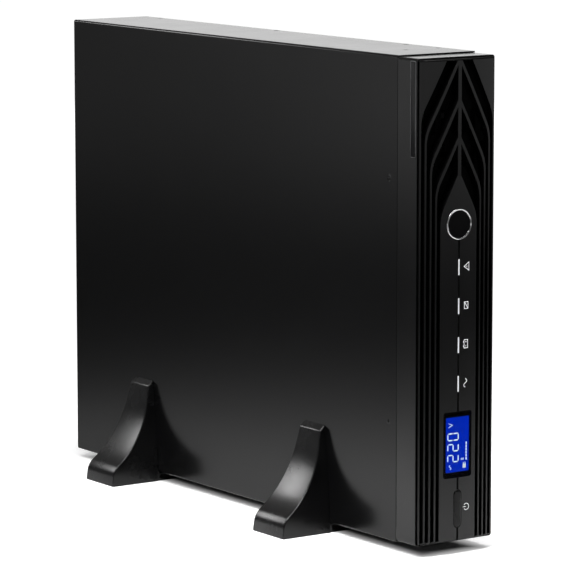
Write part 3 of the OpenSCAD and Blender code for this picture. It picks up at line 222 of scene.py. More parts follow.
class FrontSizes(bpy.types.PropertyGroup):
    """Sizes of the front's marks, display, button and label"""

    bow_radius: length("Bow radius", "Radius of the bowed fascia", 206.1)
    stroke: length("Stroke", "Width of a printed line on the panel", 0.55)
    symbol: length("Symbol size", "Height of a printed symbol", 6.6)
    line_half: length("Line half width", "Half the width of the panel's centre line", 1.05)
    digit_height: length("Digit height", "Height of a display digit", 11.4)
    digit_pitch: length("Digit pitch", "Distance between display digits", 9.8)
    digit_stroke: length("Digit stroke", "Width of a display digit's bars", 1.15)
    button_edge: length("Button edge", "Rounding of the power button's rim", 1.1)
    button_crown: length("Button crown", "Rise of the power button's face", 0.2)
    button_flange: length("Button flange", "Width of the flange behind the power button", 1.2)
    label_border: length("Label border", "Width of the side label's border", 0.3)


class RearSizes(bpy.types.PropertyGroup):
    """Sizes of the fans, guards and screw heads"""

    fan_pitch: length("Fan screw pitch", "Distance between a fan's screws", 71.5)
    guard_wire: length("Guard wire", "Radius of the fan guard's wire", 1.1)
    hub_radius: length("Hub radius", "Radius of a fan's hub", 17.0)
    tip_radius: length("Tip radius", "Radius to the blades' tips", 36.8)
    blade_thickness: length("Blade thickness", "Thickness of a fan blade", 2.0)
    blade_camber: length("Blade camber", "Bow of a fan blade across its chord", 1.6)
    recess: length("Recess depth", "Depth of the cross in a screw head", 0.9)


class FinishColours(bpy.types.PropertyGroup):
    """Colours of the finishes that show most"""

    cover: colour("Cover", "Powder coat on the case", (0.0030, 0.0030, 0.0032))
    bezel: colour("Bezel", "Grained plastic of the bezel frame", (0.0030, 0.0030, 0.0032))
    fascia: colour("Fascia", "Satin plastic of the grooved fascia", (0.0026, 0.0026, 0.0028))
    panel: colour("Control panel", "Satin plastic around the display", (0.0030, 0.0030, 0.0032))
    stand: colour("Stand", "Semi gloss plastic of the stands", (0.0028, 0.0028, 0.0030))
    display: colour("Display", "Lit field of the display", (0.001, 0.034, 0.72))
    light: colour("Lights", "Light bars and lit marks", (0.62, 0.63, 0.64))
    floor: colour("Floor", "Studio floor", (0.92, 0.92, 0.92))


class StageSizes(bpy.types.PropertyGroup):
    """Camera lens, floor and lights of the studio"""

    lens: bpy.props.FloatProperty(
        name="Lens", description="Focal length of the camera in millimetres", default=225.2, min=1.0,
        subtype="DISTANCE_CAMERA")
    floor_half: length("Floor half size", "Half the side of the studio floor", 40000.0)
    top_power: power("Top power", "Power of the softbox over the object", 5.3)
    back_power: power("Back power", "Power of the softbox behind the stands", 0.4)
    rim_power: power("Rim power", "Power of the low softbox far behind, which the top mirrors", 11.5)
    key_power: power("Key power", "Power of the softbox over the stands", 1.7)
    ambient: number("Ambient", "Strength of the studio's even light", 0.04)


def box_mm(node):
    """Lowest and highest corners of a solid at rest, in millimetres."""
    low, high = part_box(node)
    return np.array(low) / MM, np.array(high) / MM


def in_mm(value):
    """A stored length in millimetres."""
    return value / MM


def loft(sections, closed=False):
    """Skin over loops of points: quads join each loop to the next. The last loop joins the first where
    closed, and otherwise a fan closes each end at its loop's mean point."""
    rows, cols = sections.shape[:2]
    ring = np.arange(cols)
    after = (ring + 1) % cols
    steps = rows if closed else rows - 1
    start = (np.arange(steps) * cols)[:, None]
    onward = ((np.arange(steps) + 1) % rows * cols)[:, None]
    quads = np.stack([start + ring, start + after, onward + after, onward + ring], axis=-1).reshape(-1, 4)
    points = sections.reshape(-1, 3)
    if closed:
        return points, quads.tolist()
    points = np.concatenate([points, sections[[0, -1]].mean(axis=1)])
    last = (rows - 1) * cols
    low = np.stack([np.full(cols, rows * cols), after, ring], axis=-1)
    high = np.stack([np.full(cols, rows * cols + 1), last + ring, last + after], axis=-1)
    return points, quads.tolist() + low.tolist() + high.tolist()


def place(points, origin, face):
    """Local a, b and h, measured from an origin along a face's three directions."""
    return np.asarray(origin, float) + points @ np.array(face, float)


def piece(name, skins, finish, body, replaced=(), sharp=40.0):
    """One object from several skins in millimetres, with doubles merged, faces outward and edges above an
    angle sharp. It rides on a body, where one is named, and its slot holds its finish."""
    mesh = bpy.data.meshes.new(name)
    counts = np.cumsum([0] + [len(points) for points, _ in skins])
    points = np.concatenate([points for points, _ in skins]) * MM
    faces = [[int(i + shift) for i in face] for (_, own), shift in zip(skins, counts) for face in own]
    mesh.from_pydata(points.tolist(), [], faces)
    work = bmesh.new()
    work.from_mesh(mesh)
    bmesh.ops.remove_doubles(work, verts=work.verts, dist=1e-7)
    bmesh.ops.dissolve_degenerate(work, edges=work.edges, dist=1e-8)
    bmesh.ops.recalc_face_normals(work, faces=work.faces)
    work.to_mesh(mesh)
    work.free()
    mesh.polygons.foreach_set("use_smooth", np.ones(len(mesh.polygons), bool))
    mesh.set_sharp_from_angle(angle=np.radians(sharp))
    mesh.materials.append(FINISH[finish])
    thing = bpy.data.objects.new(name, mesh)
    bpy.context.scene.collection.objects.link(thing)
    if body:
        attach(thing, body)
    if replaced:
        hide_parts(*replaced)
    return thing


def rounded_loops(half_a, half_b, radius, steps=7):
    """Rounded rectangles, one a row: each corner is a quarter circle centred a radius in from both
    sides."""
    half_a, half_b, radius = np.broadcast_arrays(
        *(np.atleast_1d(np.asarray(value, float)) for value in (half_a, half_b, radius)))
    turn = np.radians(90.0 * np.arange(4)[:, None] + np.linspace(0.0, 90.0, steps))
    sign = np.array([[1, 1], [-1, 1], [-1, -1], [1, -1]], float)
    centre = sign * np.stack([half_a - radius, half_b - radius], axis=-1)[:, None, :]
    arc = radius[:, None, None, None] * np.stack([np.cos(turn), np.sin(turn)], axis=-1)
    return (centre[:, :, None, :] + arc).reshape(len(half_a), -1, 2)


def dense(loops, parts=6):
    """Closed loops with each side cut into equal parts, so that they can follow a bowed surface."""
    share = np.arange(parts)[:, None] / parts
    step = np.roll(loops, -1, axis=-2) - loops
    cut = loops[..., None, :] + share * step[..., None, :]
    return cut.reshape(*loops.shape[:-2], -1, loops.shape[-1])


def with_height(loops, height):
    """Flat loops raised each to its own height."""
    return np.dstack([loops, np.broadcast_to(np.asarray(height, float)[:, None], loops.shape[:2])])


def turned_in(half_a, half_b, radius, edge):
    """Loops that turn in on a quarter circle of the edge radius, and how far each one has risen."""
    turn = np.linspace(0.0, np.pi / 2, 5)
    inset = edge * (1.0 - np.cos(turn))
    loops = rounded_loops(half_a - inset, half_b - inset, np.maximum(radius - inset, 0.05))
    return loops, edge * np.sin(turn)


def pillow(half_a, half_b, radius, depth, edge, crown=0.0):
    """Block with rounded corners: the side rises straight and turns in on a quarter circle of the edge
    radius, and the top rises by the crown times one less the square of the way out from the middle."""
    rim, risen = turned_in(half_a, half_b, radius, edge)
    out = np.linspace(0.92, 0.08, 7)
    loops = np.concatenate([rim[:1], rim, rim[-1] * out[:, None, None]])
    height = np.concatenate([[0.0], depth - edge + risen, depth + crown * (1.0 - out ** 2)])
    return with_height(loops, height)


def slab(half_a, half_b, radius, depth, edge):
    """Block with rounded corners, whose two rims both turn in on a quarter circle of the edge radius."""
    loops, risen = turned_in(half_a, half_b, radius, edge)
    foot, top = with_height(loops, edge - risen), with_height(loops, depth - edge + risen)
    return np.concatenate([foot[::-1], top])


def stroke(path, width, closed=False):
    """Flat line of a given width: each point goes half the width to both sides, along its segments'
    mitre."""
    path = np.asarray(path, float)
    before = np.roll(path, 1, axis=0)
    after = np.roll(path, -1, axis=0)
    if not closed:
        before[0] = 2 * path[0] - path[1]
        after[-1] = 2 * path[-1] - path[-2]

    def normals(step):
        step = step / np.linalg.norm(step, axis=1, keepdims=True)
        return np.stack([-step[:, 1], step[:, 0]], axis=1)

    one, two = normals(path - before), normals(after - path)
    mitre = one + two
    mitre /= np.linalg.norm(mitre, axis=1, keepdims=True)
    reach = np.broadcast_to(width, len(path)) / 2 / np.clip((mitre * one).sum(axis=1), 0.4, 1.0)
    return np.stack([path + mitre * reach[:, None], path - mitre * reach[:, None]], axis=1)


def printed(sides, drape, high, low, closed=False):
    """A flat line made a thin closed strip: its two sides at a high and a low level, laid on a surface."""
    left, right = sides[:, 0], sides[:, 1]
    corners = drape(left, high), drape(right, high), drape(right, low), drape(left, low)
    return loft(np.stack(corners, axis=1), closed)


def arc_points(centre, radius, start, end, count):
    """Points on a circle between two angles in degrees."""
    turn = np.radians(np.linspace(start, end, count))
    return np.asarray(centre, float) + radius * np.stack([np.cos(turn), np.sin(turn)], axis=1)


# Shader node groups and finishes


def add(tree, kind, inputs=(), **settings):
    """A node with its settings, and its inputs set to values or linked to sockets."""
    made = tree.nodes.new(kind)
    for key, value in settings.items():
        setattr(made, key, value)
    for key, value in dict(inputs).items():
        if isinstance(value, bpy.types.NodeSocket):
            tree.links.new(value, made.inputs[key])
        else:
            made.inputs[key].default_value = value
    return made


def group(name, inputs, outputs, build):
    """A node group made once: float inputs with defaults, named outputs, and a function that fills it."""
    if name in bpy.data.node_groups:
        return bpy.data.node_groups[name]
    tree = bpy.data.node_groups.new(name, "ShaderNodeTree")
    for key, value in inputs.items():
        socket = tree.interface.new_socket(name=key, in_out="INPUT", socket_type=FLOAT)
        socket.default_value = value
    for key, kind in outputs.items():
        tree.interface.new_socket(name=key, in_out="OUTPUT", socket_type=kind)
    entry = tree.nodes.new("NodeGroupInput")
    leave = tree.nodes.new("NodeGroupOutput")
    for key, socket in build(tree, entry.outputs).items():
        tree.links.new(socket, leave.inputs[key])
    return tree


def own_place(tree):
    """The object's own coordinates, in metres."""
    return add(tree, "ShaderNodeTexCoord").outputs["Object"]


def noise(tree, scale, detail, roughness=0.5):
    """Noise over the object's own coordinates."""
    return add(tree, "ShaderNodeTexNoise", {
        "Vector": own_place(tree), "Scale": scale, "Detail": detail, "Roughness": roughness}).outputs["Fac"]


def maths(tree, operation, *values):
    """One arithmetic node on values or sockets."""
    return add(tree, "ShaderNodeMath", dict(enumerate(values)), operation=operation).outputs[0]


def carry(tree, value, start, end, first=0.0, last=1.0, kind="LINEAR"):
    """A value carried from one range to another and held at both ends, straight or by a smooth step."""
    return add(tree, "ShaderNodeMapRange", {
        "Value": value, "From Min": start, "From Max": end, "To Min": first, "To Max": last},
        interpolation_type=kind).outputs["Result"]


def fill_grain(tree, given):
    """Fine bumps from noise in the object's own metres, and a slower mottle beside them."""
    slow = maths(tree, "MULTIPLY", given["Scale"], 0.035)
    return {"Height": noise(tree, given["Scale"], 3.0), "Mottle": noise(tree, slow, 4.0)}


def fill_edge(tree, given):
    """Normals rounded over edges, and a mask of how far the rounded normal leans from the face's own."""
    soft = add(tree, "ShaderNodeBevel", {"Radius": given["Radius"]}, samples=6).outputs["Normal"]
    flat = add(tree, "ShaderNodeNewGeometry").outputs["Normal"]
    along = add(tree, "ShaderNodeVectorMath", {0: soft, 1: flat}, operation="DOT_PRODUCT").outputs["Value"]
    return {"Normal": soft, "Edge": carry(tree, along, 0.995, 0.80)}


def fill_wear(tree, given):
    """Worn patches: the edge mask broken up by noise, times an amount."""
    patchy = carry(tree, noise(tree, given["Scale"], 5.0), 0.42, 0.66)
    masked = maths(tree, "MULTIPLY", patchy, given["Edge"])
    return {"Mask": maths(tree, "MULTIPLY", masked, given["Amount"])}


def fill_smudge(tree, given):
    """Roughness that drifts between two levels with slow, cloudy noise, as handled surfaces do."""
    cloud = noise(tree, given["Scale"], 6.0, 0.6)
    return {"Roughness": carry(tree, cloud, 0.3, 0.7, given["Low"], given["High"])}


def fill_dust(tree, given):
    """Dust on faces that look up: the normal's upward part, sharpened, times fine noise and an amount."""
    normal = add(tree, "ShaderNodeNewGeometry").outputs["Normal"]
    up = add(tree, "ShaderNodeSeparateXYZ", {0: normal}).outputs["Z"]
    cloud = maths(tree, "MULTIPLY", noise(tree, 140.0, 6.0), carry(tree, up, 0.35, 0.95))
    return {"Mask": maths(tree, "MULTIPLY", cloud, given["Amount"])}


def fill_streaks(tree, given):
    """Drawn or rolled metal: noise stretched long along one way of the object."""
    stretched = add(tree, "ShaderNodeMapping", {"Vector": own_place(tree), "Scale": (1.0, 0.02, 1.0)})
    lines = add(tree, "ShaderNodeTexNoise", {
        "Vector": stretched.outputs["Vector"], "Scale": given["Scale"], "Detail": 4.0})
    return {"Tone": lines.outputs["Fac"]}


def fill_spangle(tree, given):
    """Zinc crystals: each Voronoi cell has one grey of its own."""
    cells = add(tree, "ShaderNodeTexVoronoi", {"Vector": own_place(tree), "Scale": given["Scale"]})
    grey = add(tree, "ShaderNodeRGBToBW", {0: cells.outputs["Color"]})
    return {"Tone": grey.outputs[0]}


def fill_lattice(tree, given):
    """Lines of a fine grid: the brick pattern's joints, seen along the object's own width and height."""
    parts = add(tree, "ShaderNodeSeparateXYZ", {0: own_place(tree)}).outputs
    flat = add(tree, "ShaderNodeCombineXYZ", {"X": parts["X"], "Y": parts["Z"]}).outputs[0]
    brick = add(tree, "ShaderNodeTexBrick", {
        "Vector": flat, "Scale": given["Scale"], "Mortar Size": given["Line"], "Mortar Smooth": 0.4,
        "Brick Width": 0.5, "Row Height": 0.5}, offset=0.0)
    return {"Mask": brick.outputs["Fac"]}


# Shared effects: inputs with defaults, outputs and the function that fills each
EFFECTS = {
    "Grain": ({"Scale": 1500.0}, {"Height": FLOAT, "Mottle": FLOAT}, fill_grain),
    "Soft Edge": ({"Radius": 0.0006}, {"Normal": VECTOR, "Edge": FLOAT}, fill_edge),
    "Edge Wear": ({"Edge": 0.0, "Scale": 90.0, "Amount": 0.5}, {"Mask": FLOAT}, fill_wear),
    "Smudge": ({"Scale": 22.0, "Low": 0.4, "High": 0.5}, {"Roughness": FLOAT}, fill_smudge),
    "Dust": ({"Amount": 0.2}, {"Mask": FLOAT}, fill_dust),
    "Streaks": ({"Scale": 900.0}, {"Tone": FLOAT}, fill_streaks),
    "Spangle": ({"Scale": 160.0}, {"Tone": FLOAT}, fill_spangle),
    "Lattice": ({"Scale": 900.0, "Line": 0.06}, {"Mask": FLOAT}, fill_lattice),
}


def use(tree, name, values):
    """The outputs of a group that is placed in a material with its own values."""
    return add(tree, "ShaderNodeGroup", values, node_tree=group(name, *EFFECTS[name])).outputs


def mix(tree, mask, one, two):
    """A colour between two, by a mask."""
    made = add(tree, "ShaderNodeMix", {0: mask}, data_type="RGBA")
    for index, value in ((6, one), (7, two)):
        if isinstance(value, bpy.types.NodeSocket):
            tree.links.new(value, made.inputs[index])
        else:
            made.inputs[index].default_value = (*value, 1.0)
    return made.outputs[2]


def shade(base, by):
    """A colour made lighter or darker by a factor, kept under full white."""
    return tuple(min(1.0, channel * by) for channel in base)


def new_material(name):
    """An empty node material with a Principled BSDF."""
    material = bpy.data.materials.new(name)
    material.use_nodes = True
    tree = material.node_tree
    tree.nodes.clear()
    shader = tree.nodes.new("ShaderNodeBsdfPrincipled")
    leave = tree.nodes.new("ShaderNodeOutputMaterial")
    tree.links.new(shader.outputs[0], leave.inputs["Surface"])
    return material, tree, shader


def cloud_gloss(tree, shader, levels, scale=22.0):
    """Gives a shader cloudy roughness between two levels."""
    cloudy = use(tree, "Smudge", {"Low": levels[0], "High": levels[1], "Scale": scale})
    tree.links.new(cloudy["Roughness"], shader.inputs["Roughness"])


def emboss(tree, shader, height, depth, normal=None):
    """Gives a shader bumps from a height, as deep as a number of millimetres, on top of a normal."""
    given = {"Height": height, "Distance": depth * MM, "Strength": 1.0}
    if normal is not None:
        given["Normal"] = normal
    tree.links.new(add(tree, "ShaderNodeBump", given).outputs["Normal"], shader.inputs["Normal"])


def moulded(name, base, rough, specular=0.5, grain=(1500.0, 0.02), radius=0.6, wear=0.25, worn=2.4,
            dust=0.06):
    """Painted or moulded surface: grain for bump, mottle in colour, cloudy roughness, soft and slightly
    worn edges, and a little dust on faces that look up."""
    material, tree, shader = new_material(name)
    texture = use(tree, "Grain", {"Scale": grain[0]})
    edge = use(tree, "Soft Edge", {"Radius": radius * MM})
    mask = use(tree, "Edge Wear", {"Edge": edge["Edge"], "Amount": wear})["Mask"]
    settled = use(tree, "Dust", {"Amount": dust})["Mask"]
    plain = mix(tree, texture["Mottle"], shade(base, 0.82), shade(base, 1.18))
    used = mix(tree, mask, plain, shade(base, worn))
    tree.links.new(mix(tree, settled, used, DUST_TONE), shader.inputs["Base Color"])
    cloud_gloss(tree, shader, rough)
    emboss(tree, shader, texture["Height"], grain[1], edge["Normal"])
    shader.inputs["Specular IOR Level"].default_value = specular
    return material


def metal(name, base, rough, drawn=True, radius=0.3, scale=900.0, lines=0.006):
    """Bare or plated metal: drawn lines or zinc crystals in tone, cloudy roughness and soft edges."""
    material, tree, shader = new_material(name)
    edge = use(tree, "Soft Edge", {"Radius": radius * MM})
    tone = use(tree, "Streaks" if drawn else "Spangle", {"Scale": scale})["Tone"]
    tree.links.new(mix(tree, tone, shade(base, 0.84), shade(base, 1.08)), shader.inputs["Base Color"])
    cloud_gloss(tree, shader, rough, 40.0)
    emboss(tree, shader, tone, lines, edge["Normal"])
    shader.inputs["Metallic"].default_value = 1.0
    return material


def board(name, base):
    """Circuit board: solder mask with a lattice of copper runs under it."""
    material, tree, shader = new_material(name)
    runs = use(tree, "Lattice", {"Scale": 120.0, "Line": 0.05})["Mask"]
    tree.links.new(mix(tree, runs, base, shade(base, 2.2)), shader.inputs["Base Color"])
    cloud_gloss(tree, shader, (0.28, 0.42))
    emboss(tree, shader, runs, 0.03)
    return material


def lit(name, base, strength, lattice=0.0, specular=0.5, reflect=1.0):
    """Glowing surface: an even glow, darker where a fine lattice of cells shows, with cloudy gloss. On
    printed marks the glow is painted light.
    """
    material, tree, shader = new_material(name)
    cells = use(tree, "Lattice", {"Scale": 900.0, "Line": 0.05})["Mask"]
    cloud = use(tree, "Grain", {"Scale": 700.0})["Mottle"]
    for socket, tone in (("Base Color", shade(base, reflect)), ("Emission Color", base)):
        dimmed = mix(tree, cells, tone, shade(tone, 1.0 - lattice))
        tree.links.new(mix(tree, cloud, dimmed, shade(tone, 0.92)), shader.inputs[socket])
    shader.inputs["Emission Strength"].default_value = strength
    shader.inputs["Specular IOR Level"].default_value = specular
    cloud_gloss(tree, shader, (0.25, 0.4))
    return material


def window(name):
    """Clear moulded window: plain transmission with slightly cloudy gloss and a soft edge."""
    material, tree, shader = new_material(name)
    cloud_gloss(tree, shader, (0.02, 0.07))
    edge = use(tree, "Soft Edge", {"Radius": 0.3 * MM})["Normal"]
    tree.links.new(edge, shader.inputs["Normal"])
    shader.inputs["Base Color"].default_value = (0.94, 0.96, 1.0, 1.0)
    shader.inputs["Transmission Weight"].default_value = 1.0
    shader.inputs["IOR"].default_value = 1.08
    return material


def make_finishes(colours):
    """One material for each material slot of the record, and the few that only new pieces use. Each row
    gives what its maker above takes after the name, in that order."""
    mouldings = {
        "cover_paint": (colours.cover, (0.175, 0.195), 0.26, (2400.0, 0.004), 0.7, 0.2),
        "panel_paint": (colours.cover, (0.34, 0.44), 0.4, (2200.0, 0.03), 0.5, 0.2),
        "bezel_plastic": (colours.bezel, (0.165, 0.195), 0.36, (1800.0, 0.004), 0.8, 0.2),
        "fascia_plastic": (colours.fascia, (0.16, 0.19), 0.36, (1900.0, 0.004), 0.35, 0.15),
        "panel_plastic": (colours.panel, (0.16, 0.19), 0.42, (1900.0, 0.004), 0.35, 0.15),
        "groove_black": ((0.0015, 0.0015, 0.0015), (0.75, 0.85), 0.08, (1500.0, 0.02), 0.6, 0.0, 2.4, 0.0),
        "stand_plastic": (colours.stand, (0.22, 0.30), 0.45, (1300.0, 0.006), 0.5, 0.2),
        "dark_screw": ((0.005, 0.005, 0.0055), (0.16, 0.26), 0.4, (900.0, 0.004), 0.2, 0.4, 6.0),
        "badge_black": ((0.002, 0.002, 0.0022), (0.06, 0.12), 0.14, (500.0, 0.002), 0.2, 0.0),
        "button_plastic": (shade(colours.panel, 0.7), (0.22, 0.30), 0.25, (1700.0, 0.004), 0.4, 0.3),
        "socket_plastic": ((0.012, 0.012, 0.013), (0.36, 0.48), 0.5, (1200.0, 0.012), 0.4),
        "battery_connector": ((0.22, 0.016, 0.014), (0.4, 0.5), 0.5, (1100.0, 0.014), 0.4),
        "terminal_green": ((0.03, 0.22, 0.07), (0.36, 0.48), 0.5, (1100.0, 0.01), 0.3),
        "breaker_red": ((0.42, 0.016, 0.016), (0.26, 0.36), 0.5, (900.0, 0.006), 0.4),
        "fan_plastic": ((0.013, 0.013, 0.014), (0.42, 0.55), 0.45, (1300.0, 0.014), 0.4),
        "part_black": ((0.014, 0.014, 0.015), (0.38, 0.5), 0.5, (1000.0, 0.01), 0.3),
        "transformer_yellow": ((0.6, 0.42, 0.05), (0.36, 0.5), 0.5, (500.0, 0.02), 0.3),
        "relay_blue": ((0.02, 0.06, 0.32), (0.24, 0.36), 0.5, (900.0, 0.008), 0.4),
        "battery_case": ((0.09, 0.095, 0.1), (0.42, 0.55), 0.4, (900.0, 0.03), 0.6),
        "runner_nylon": ((0.55, 0.55, 0.52), (0.4, 0.5), 0.4, (900.0, 0.015), 0.4, 0.1, 1.1),
        "ribbon_grey": ((0.42, 0.43, 0.45), (0.36, 0.48), 0.45, (900.0, 0.01), 0.2, 0.1, 1.2),
        "label_film": ((0.004, 0.004, 0.0045), (0.2, 0.3), 0.25, (700.0, 0.004), 0.1, 0.0),
    }
    metals = {
        "inner_sheet": ((0.56, 0.57, 0.58), (0.32, 0.46), False),
        "bright_steel": ((0.74, 0.74, 0.73), (0.16, 0.28)),
        "badge_chrome": ((0.86, 0.86, 0.87), (0.06, 0.14), True, 0.3, 900.0, 0.001),
        "earth_brass": ((0.72, 0.56, 0.28), (0.2, 0.34)),
        "guard_wire": ((0.66, 0.66, 0.67), (0.18, 0.3), True, 0.1),
        "heatsink_alloy": ((0.74, 0.75, 0.76), (0.26, 0.4)),
        "copper_winding": ((0.78, 0.36, 0.17), (0.22, 0.36), True, 0.3, 500.0, 0.05),
    }
    lights = {
        "light_guide": (colours.light, 0.9),
        "display_blue": (colours.display, 0.5, 0.25, 0.0, 0.3),
        # Painted light: the printed symbols glow though they are no lamp, so that they read brighter
        "mark_white": (shade(colours.light, 1.3), 0.8),
        "digit_white": ((0.66, 0.82, 0.82), 0.5),
        "label_line": ((0.16, 0.16, 0.165), 0.0),
    }
    others = {"circuit_board": ((0.02, 0.13, 0.05),), "display_glass": ()}
    makers = (
        *((moulded, row) for row in mouldings.items()), *((metal, row) for row in metals.items()),
        *((lit, row) for row in lights.items()), *zip((board, window), others.items()))
    return {name: maker(name, *values) for maker, (name, values) in makers}


class UPS_OT_finishes(bpy.types.Operator):
    """Gives every solid the procedural finish of its material slot, save three parts made dark as painted
    shade
    """

    bl_idname = "ups.finishes"
    bl_label = "Finish the solids"

    def execute(self, context):
        FINISH.update(make_finishes(context.scene.ups_colours))
        slots = {part["node"]: part["material_slot"] for part in frame["record"]["subparts"]}
        # Painted shade: the zinc front panel and battery door and the steel ear nuts, seen only through
        # slots and holes, take dark finishes in place of their own to stand for the shade in there
        slots.update(front_panel="panel_paint", battery_door="panel_paint", ear_nuts="dark_screw")
        for node, solid in frame["nodes"].items():
            solid.data.materials.clear()
            solid.data.materials.append(FINISH[slots[node]])
        return {"FINISHED"}


def stand_outline(sizes):
    """Outline of a stand's wing from its top to the floor, out from the case: a sloped roof, a round
    edge, a leaning upright, a hollow sweep, a straight fall, a round nose and a drafted toe. Column 0 is
    the way out, column 1 the height."""
    reach, thick, shoulder, sweep_z, sweep_r, nose_r, peak, edge = (in_mm(value) for value in (
        sizes.reach, sizes.thickness, sizes.shoulder, sizes.sweep_height, sizes.sweep_radius,
        sizes.nose_radius, sizes.roof_height, sizes.roof_radius))
    outward = np.array([np.cos(sizes.lean), np.sin(sizes.lean)])
    down = np.array([np.cos(sizes.fall), -np.sin(sizes.fall)])
    below = np.array([np.sin(sizes.fall), np.cos(sizes.fall)])
    rise = np.array([-np.sin(sizes.draft), np.cos(sizes.draft)])
    slope = np.array([np.cos(sizes.roof), -np.sin(sizes.roof)])
    lean, fall, draft, roof = np.degrees((sizes.lean, sizes.fall, sizes.draft, sizes.roof))
    toe = np.array([reach, 0.0])
    top = np.array([0.0, shoulder]) + thick * outward
    sweep_c = top + (top[1] - sweep_z) * np.array([np.tan(sizes.lean), -1.0]) + sweep_r * outward
    gap = sweep_c - sweep_r * below - toe
    nose = toe + rise * (gap[0] * down[1] - gap[1] * down[0]) / (rise[0] * down[1] - rise[1] * down[0])
    nose_c = nose - down * nose_r * np.tan(np.radians(90.0 - fall - draft) / 2) - nose_r * below
    lean_in, fall_off = np.tan(sizes.lean), np.tan(sizes.roof)
    eave = (top[0] + (top[1] - peak) * lean_in) / (1.0 - fall_off * lean_in)
    eave_c = np.array([eave, peak - eave * fall_off])
    eave_c -= slope * edge * np.tan(np.radians(90.0 - roof - lean) / 2)
    eave_c += edge * np.array([slope[1], -slope[0]])
    face_point, floor_round = 4.0, in_mm(sizes.foot_radius)
    return np.concatenate([
        np.array([0.0, peak]) + np.linspace(0.05, 0.6, 5)[:, None] * eave * slope,
        arc_points(eave_c, edge, 90.0 - roof, lean, 10),
        arc_points(sweep_c, sweep_r, 180.0 + lean, 270.0 - fall, 28),
        arc_points(nose_c, nose_r, 90.0 - fall, draft, 14),
        toe + np.array([[face_point], [floor_round]]) * rise,
    ])


def wing_sections(sizes):
    """Level slices of a wing: each runs from the case out to the outline, is narrower than the foot by a
    power of its height, less a quarter circle at the top, and has its two outer corners rounded."""
    line = stand_outline(sizes)
    foot, edge, corner, shoulder = (in_mm(value) for value in (
        sizes.foot_radius, sizes.edge_radius, sizes.top_corner, sizes.shoulder))
    out = np.append(line[:, 0], line[-1, 0] - foot * 0.6)
    height = np.append(line[:, 1], 0.0)
    narrower = in_mm(sizes.foot_width - sizes.top_width) / 2
    half = in_mm(sizes.foot_width) / 2 - narrower * (height / shoulder) ** sizes.taper
    share = np.clip((height - height[0] + corner) / corner, 0.0, 1.0)
    half -= corner * (1.0 - np.sqrt(1.0 - share ** 2))
    radius = np.minimum(edge, 0.8 * out)
    turn = np.radians(np.linspace(0.0, 90.0, 8))
    far_x = (out - radius)[:, None] + radius[:, None] * np.cos(turn)
    far_y = (half - radius)[:, None] + radius[:, None] * np.sin(turn)
    inner = np.zeros((len(out), 1))
    across = np.concatenate([inner, far_x[:, ::-1], far_x, inner], axis=1)
    along = np.concatenate([-half[:, None], -far_y[:, ::-1], far_y, half[:, None]], axis=1)
    return np.dstack([across, along, np.broadcast_to(height[:, None], along.shape)])


class UPS_OT_stands(bpy.types.Operator):
    """Four flared stand halves with rounded edges, each with its plate under the case"""

    bl_idname = "ups.stands"
    bl_label = "Stands"

    def execute(self, context):
        sizes = context.scene.ups_stands
        wing = wing_sections(sizes)
        plate_half = in_mm(sizes.plate_half)
        plate_out = plate_half + in_mm(sizes.plate_gap) / 2
        plate = slab(plate_half, in_mm(sizes.foot_width) / 2, in_mm(sizes.plate_corner),
                     in_mm(sizes.plate_thickness), in_mm(sizes.plate_radius))
        tongue_corner, tongue_edge = 1.0, 0.6
        tongue = slab(in_mm(sizes.tongue_length) / 2, in_mm(sizes.tongue_width) / 2, tongue_corner,
                      in_mm(sizes.tongue_thickness), tongue_edge)
        tongue += np.array([in_mm(sizes.tongue_middle), 0.0, in_mm(sizes.tongue_rise)])
        for node in ("stand_front_left", "stand_front_right", "stand_rear_left", "stand_rear_right"):
            low, high = box_mm(node)
            side = -1.0 if node.endswith("left") else 1.0
            middle = (low[1] + high[1]) / 2
            toe = -low[0] if side < 0 else high[0]
            inner = toe - in_mm(sizes.reach)
            swept = np.dstack([side * (wing[..., 0] + inner), wing[..., 1] + middle, wing[..., 2]])
            skins = [loft(swept), loft(plate + np.array([side * plate_out, middle, 0.0]))]
            if side < 0:
                skins.append(loft(tongue + np.array([0.0, middle, 0.0])))
            piece(f"{node}_shell", skins, "stand_plastic", "chassis", (node,), 32.0)
        return {"FINISHED"}


def screw_head(radius, dome, skirt, recess, knurl=0.0):
    """Round head on a polar grid: the height falls with the square of the radius, less a cross whose two
    arms have straight sloped walls; the skirt goes straight down, and may be rippled round as a knurl."""
    share = np.concatenate([np.linspace(0.03, 1.0, 22), [1.0, 1.0]])[:, None]
    turn = np.linspace(0.0, 2 * np.pi, 64, endpoint=False)[None, :]
    ripple = 1.0 + knurl * np.sign(np.sin(KNURL_RIDGES * turn)) * (share > KNURL_FROM)
    a = radius * share * ripple * np.cos(turn)
    b = radius * share * ripple * np.sin(turn)

    def within(way, half, wall):
        return np.clip((half * radius - np.abs(way)) / (wall * radius) + 0.5, 0.0, 1.0)

    def arm(over, along):
        return within(over, *CROSS_WIDE) * within(along, *CROSS_LONG)

    height = dome * (1.0 - share ** 2) - recess * np.maximum(arm(a, b), arm(b, a))
    rim_drop = 0.12
    height[-2] -= rim_drop * skirt
    height[-1] -= skirt
    return np.dstack([a, b, height])


def fan_corners(sizes):
    """The four screw places of a fan, from its middle."""
    half = in_mm(sizes.fan_pitch) / 2
    return [(x, z) for x in (-half, half) for z in (-half, half)]


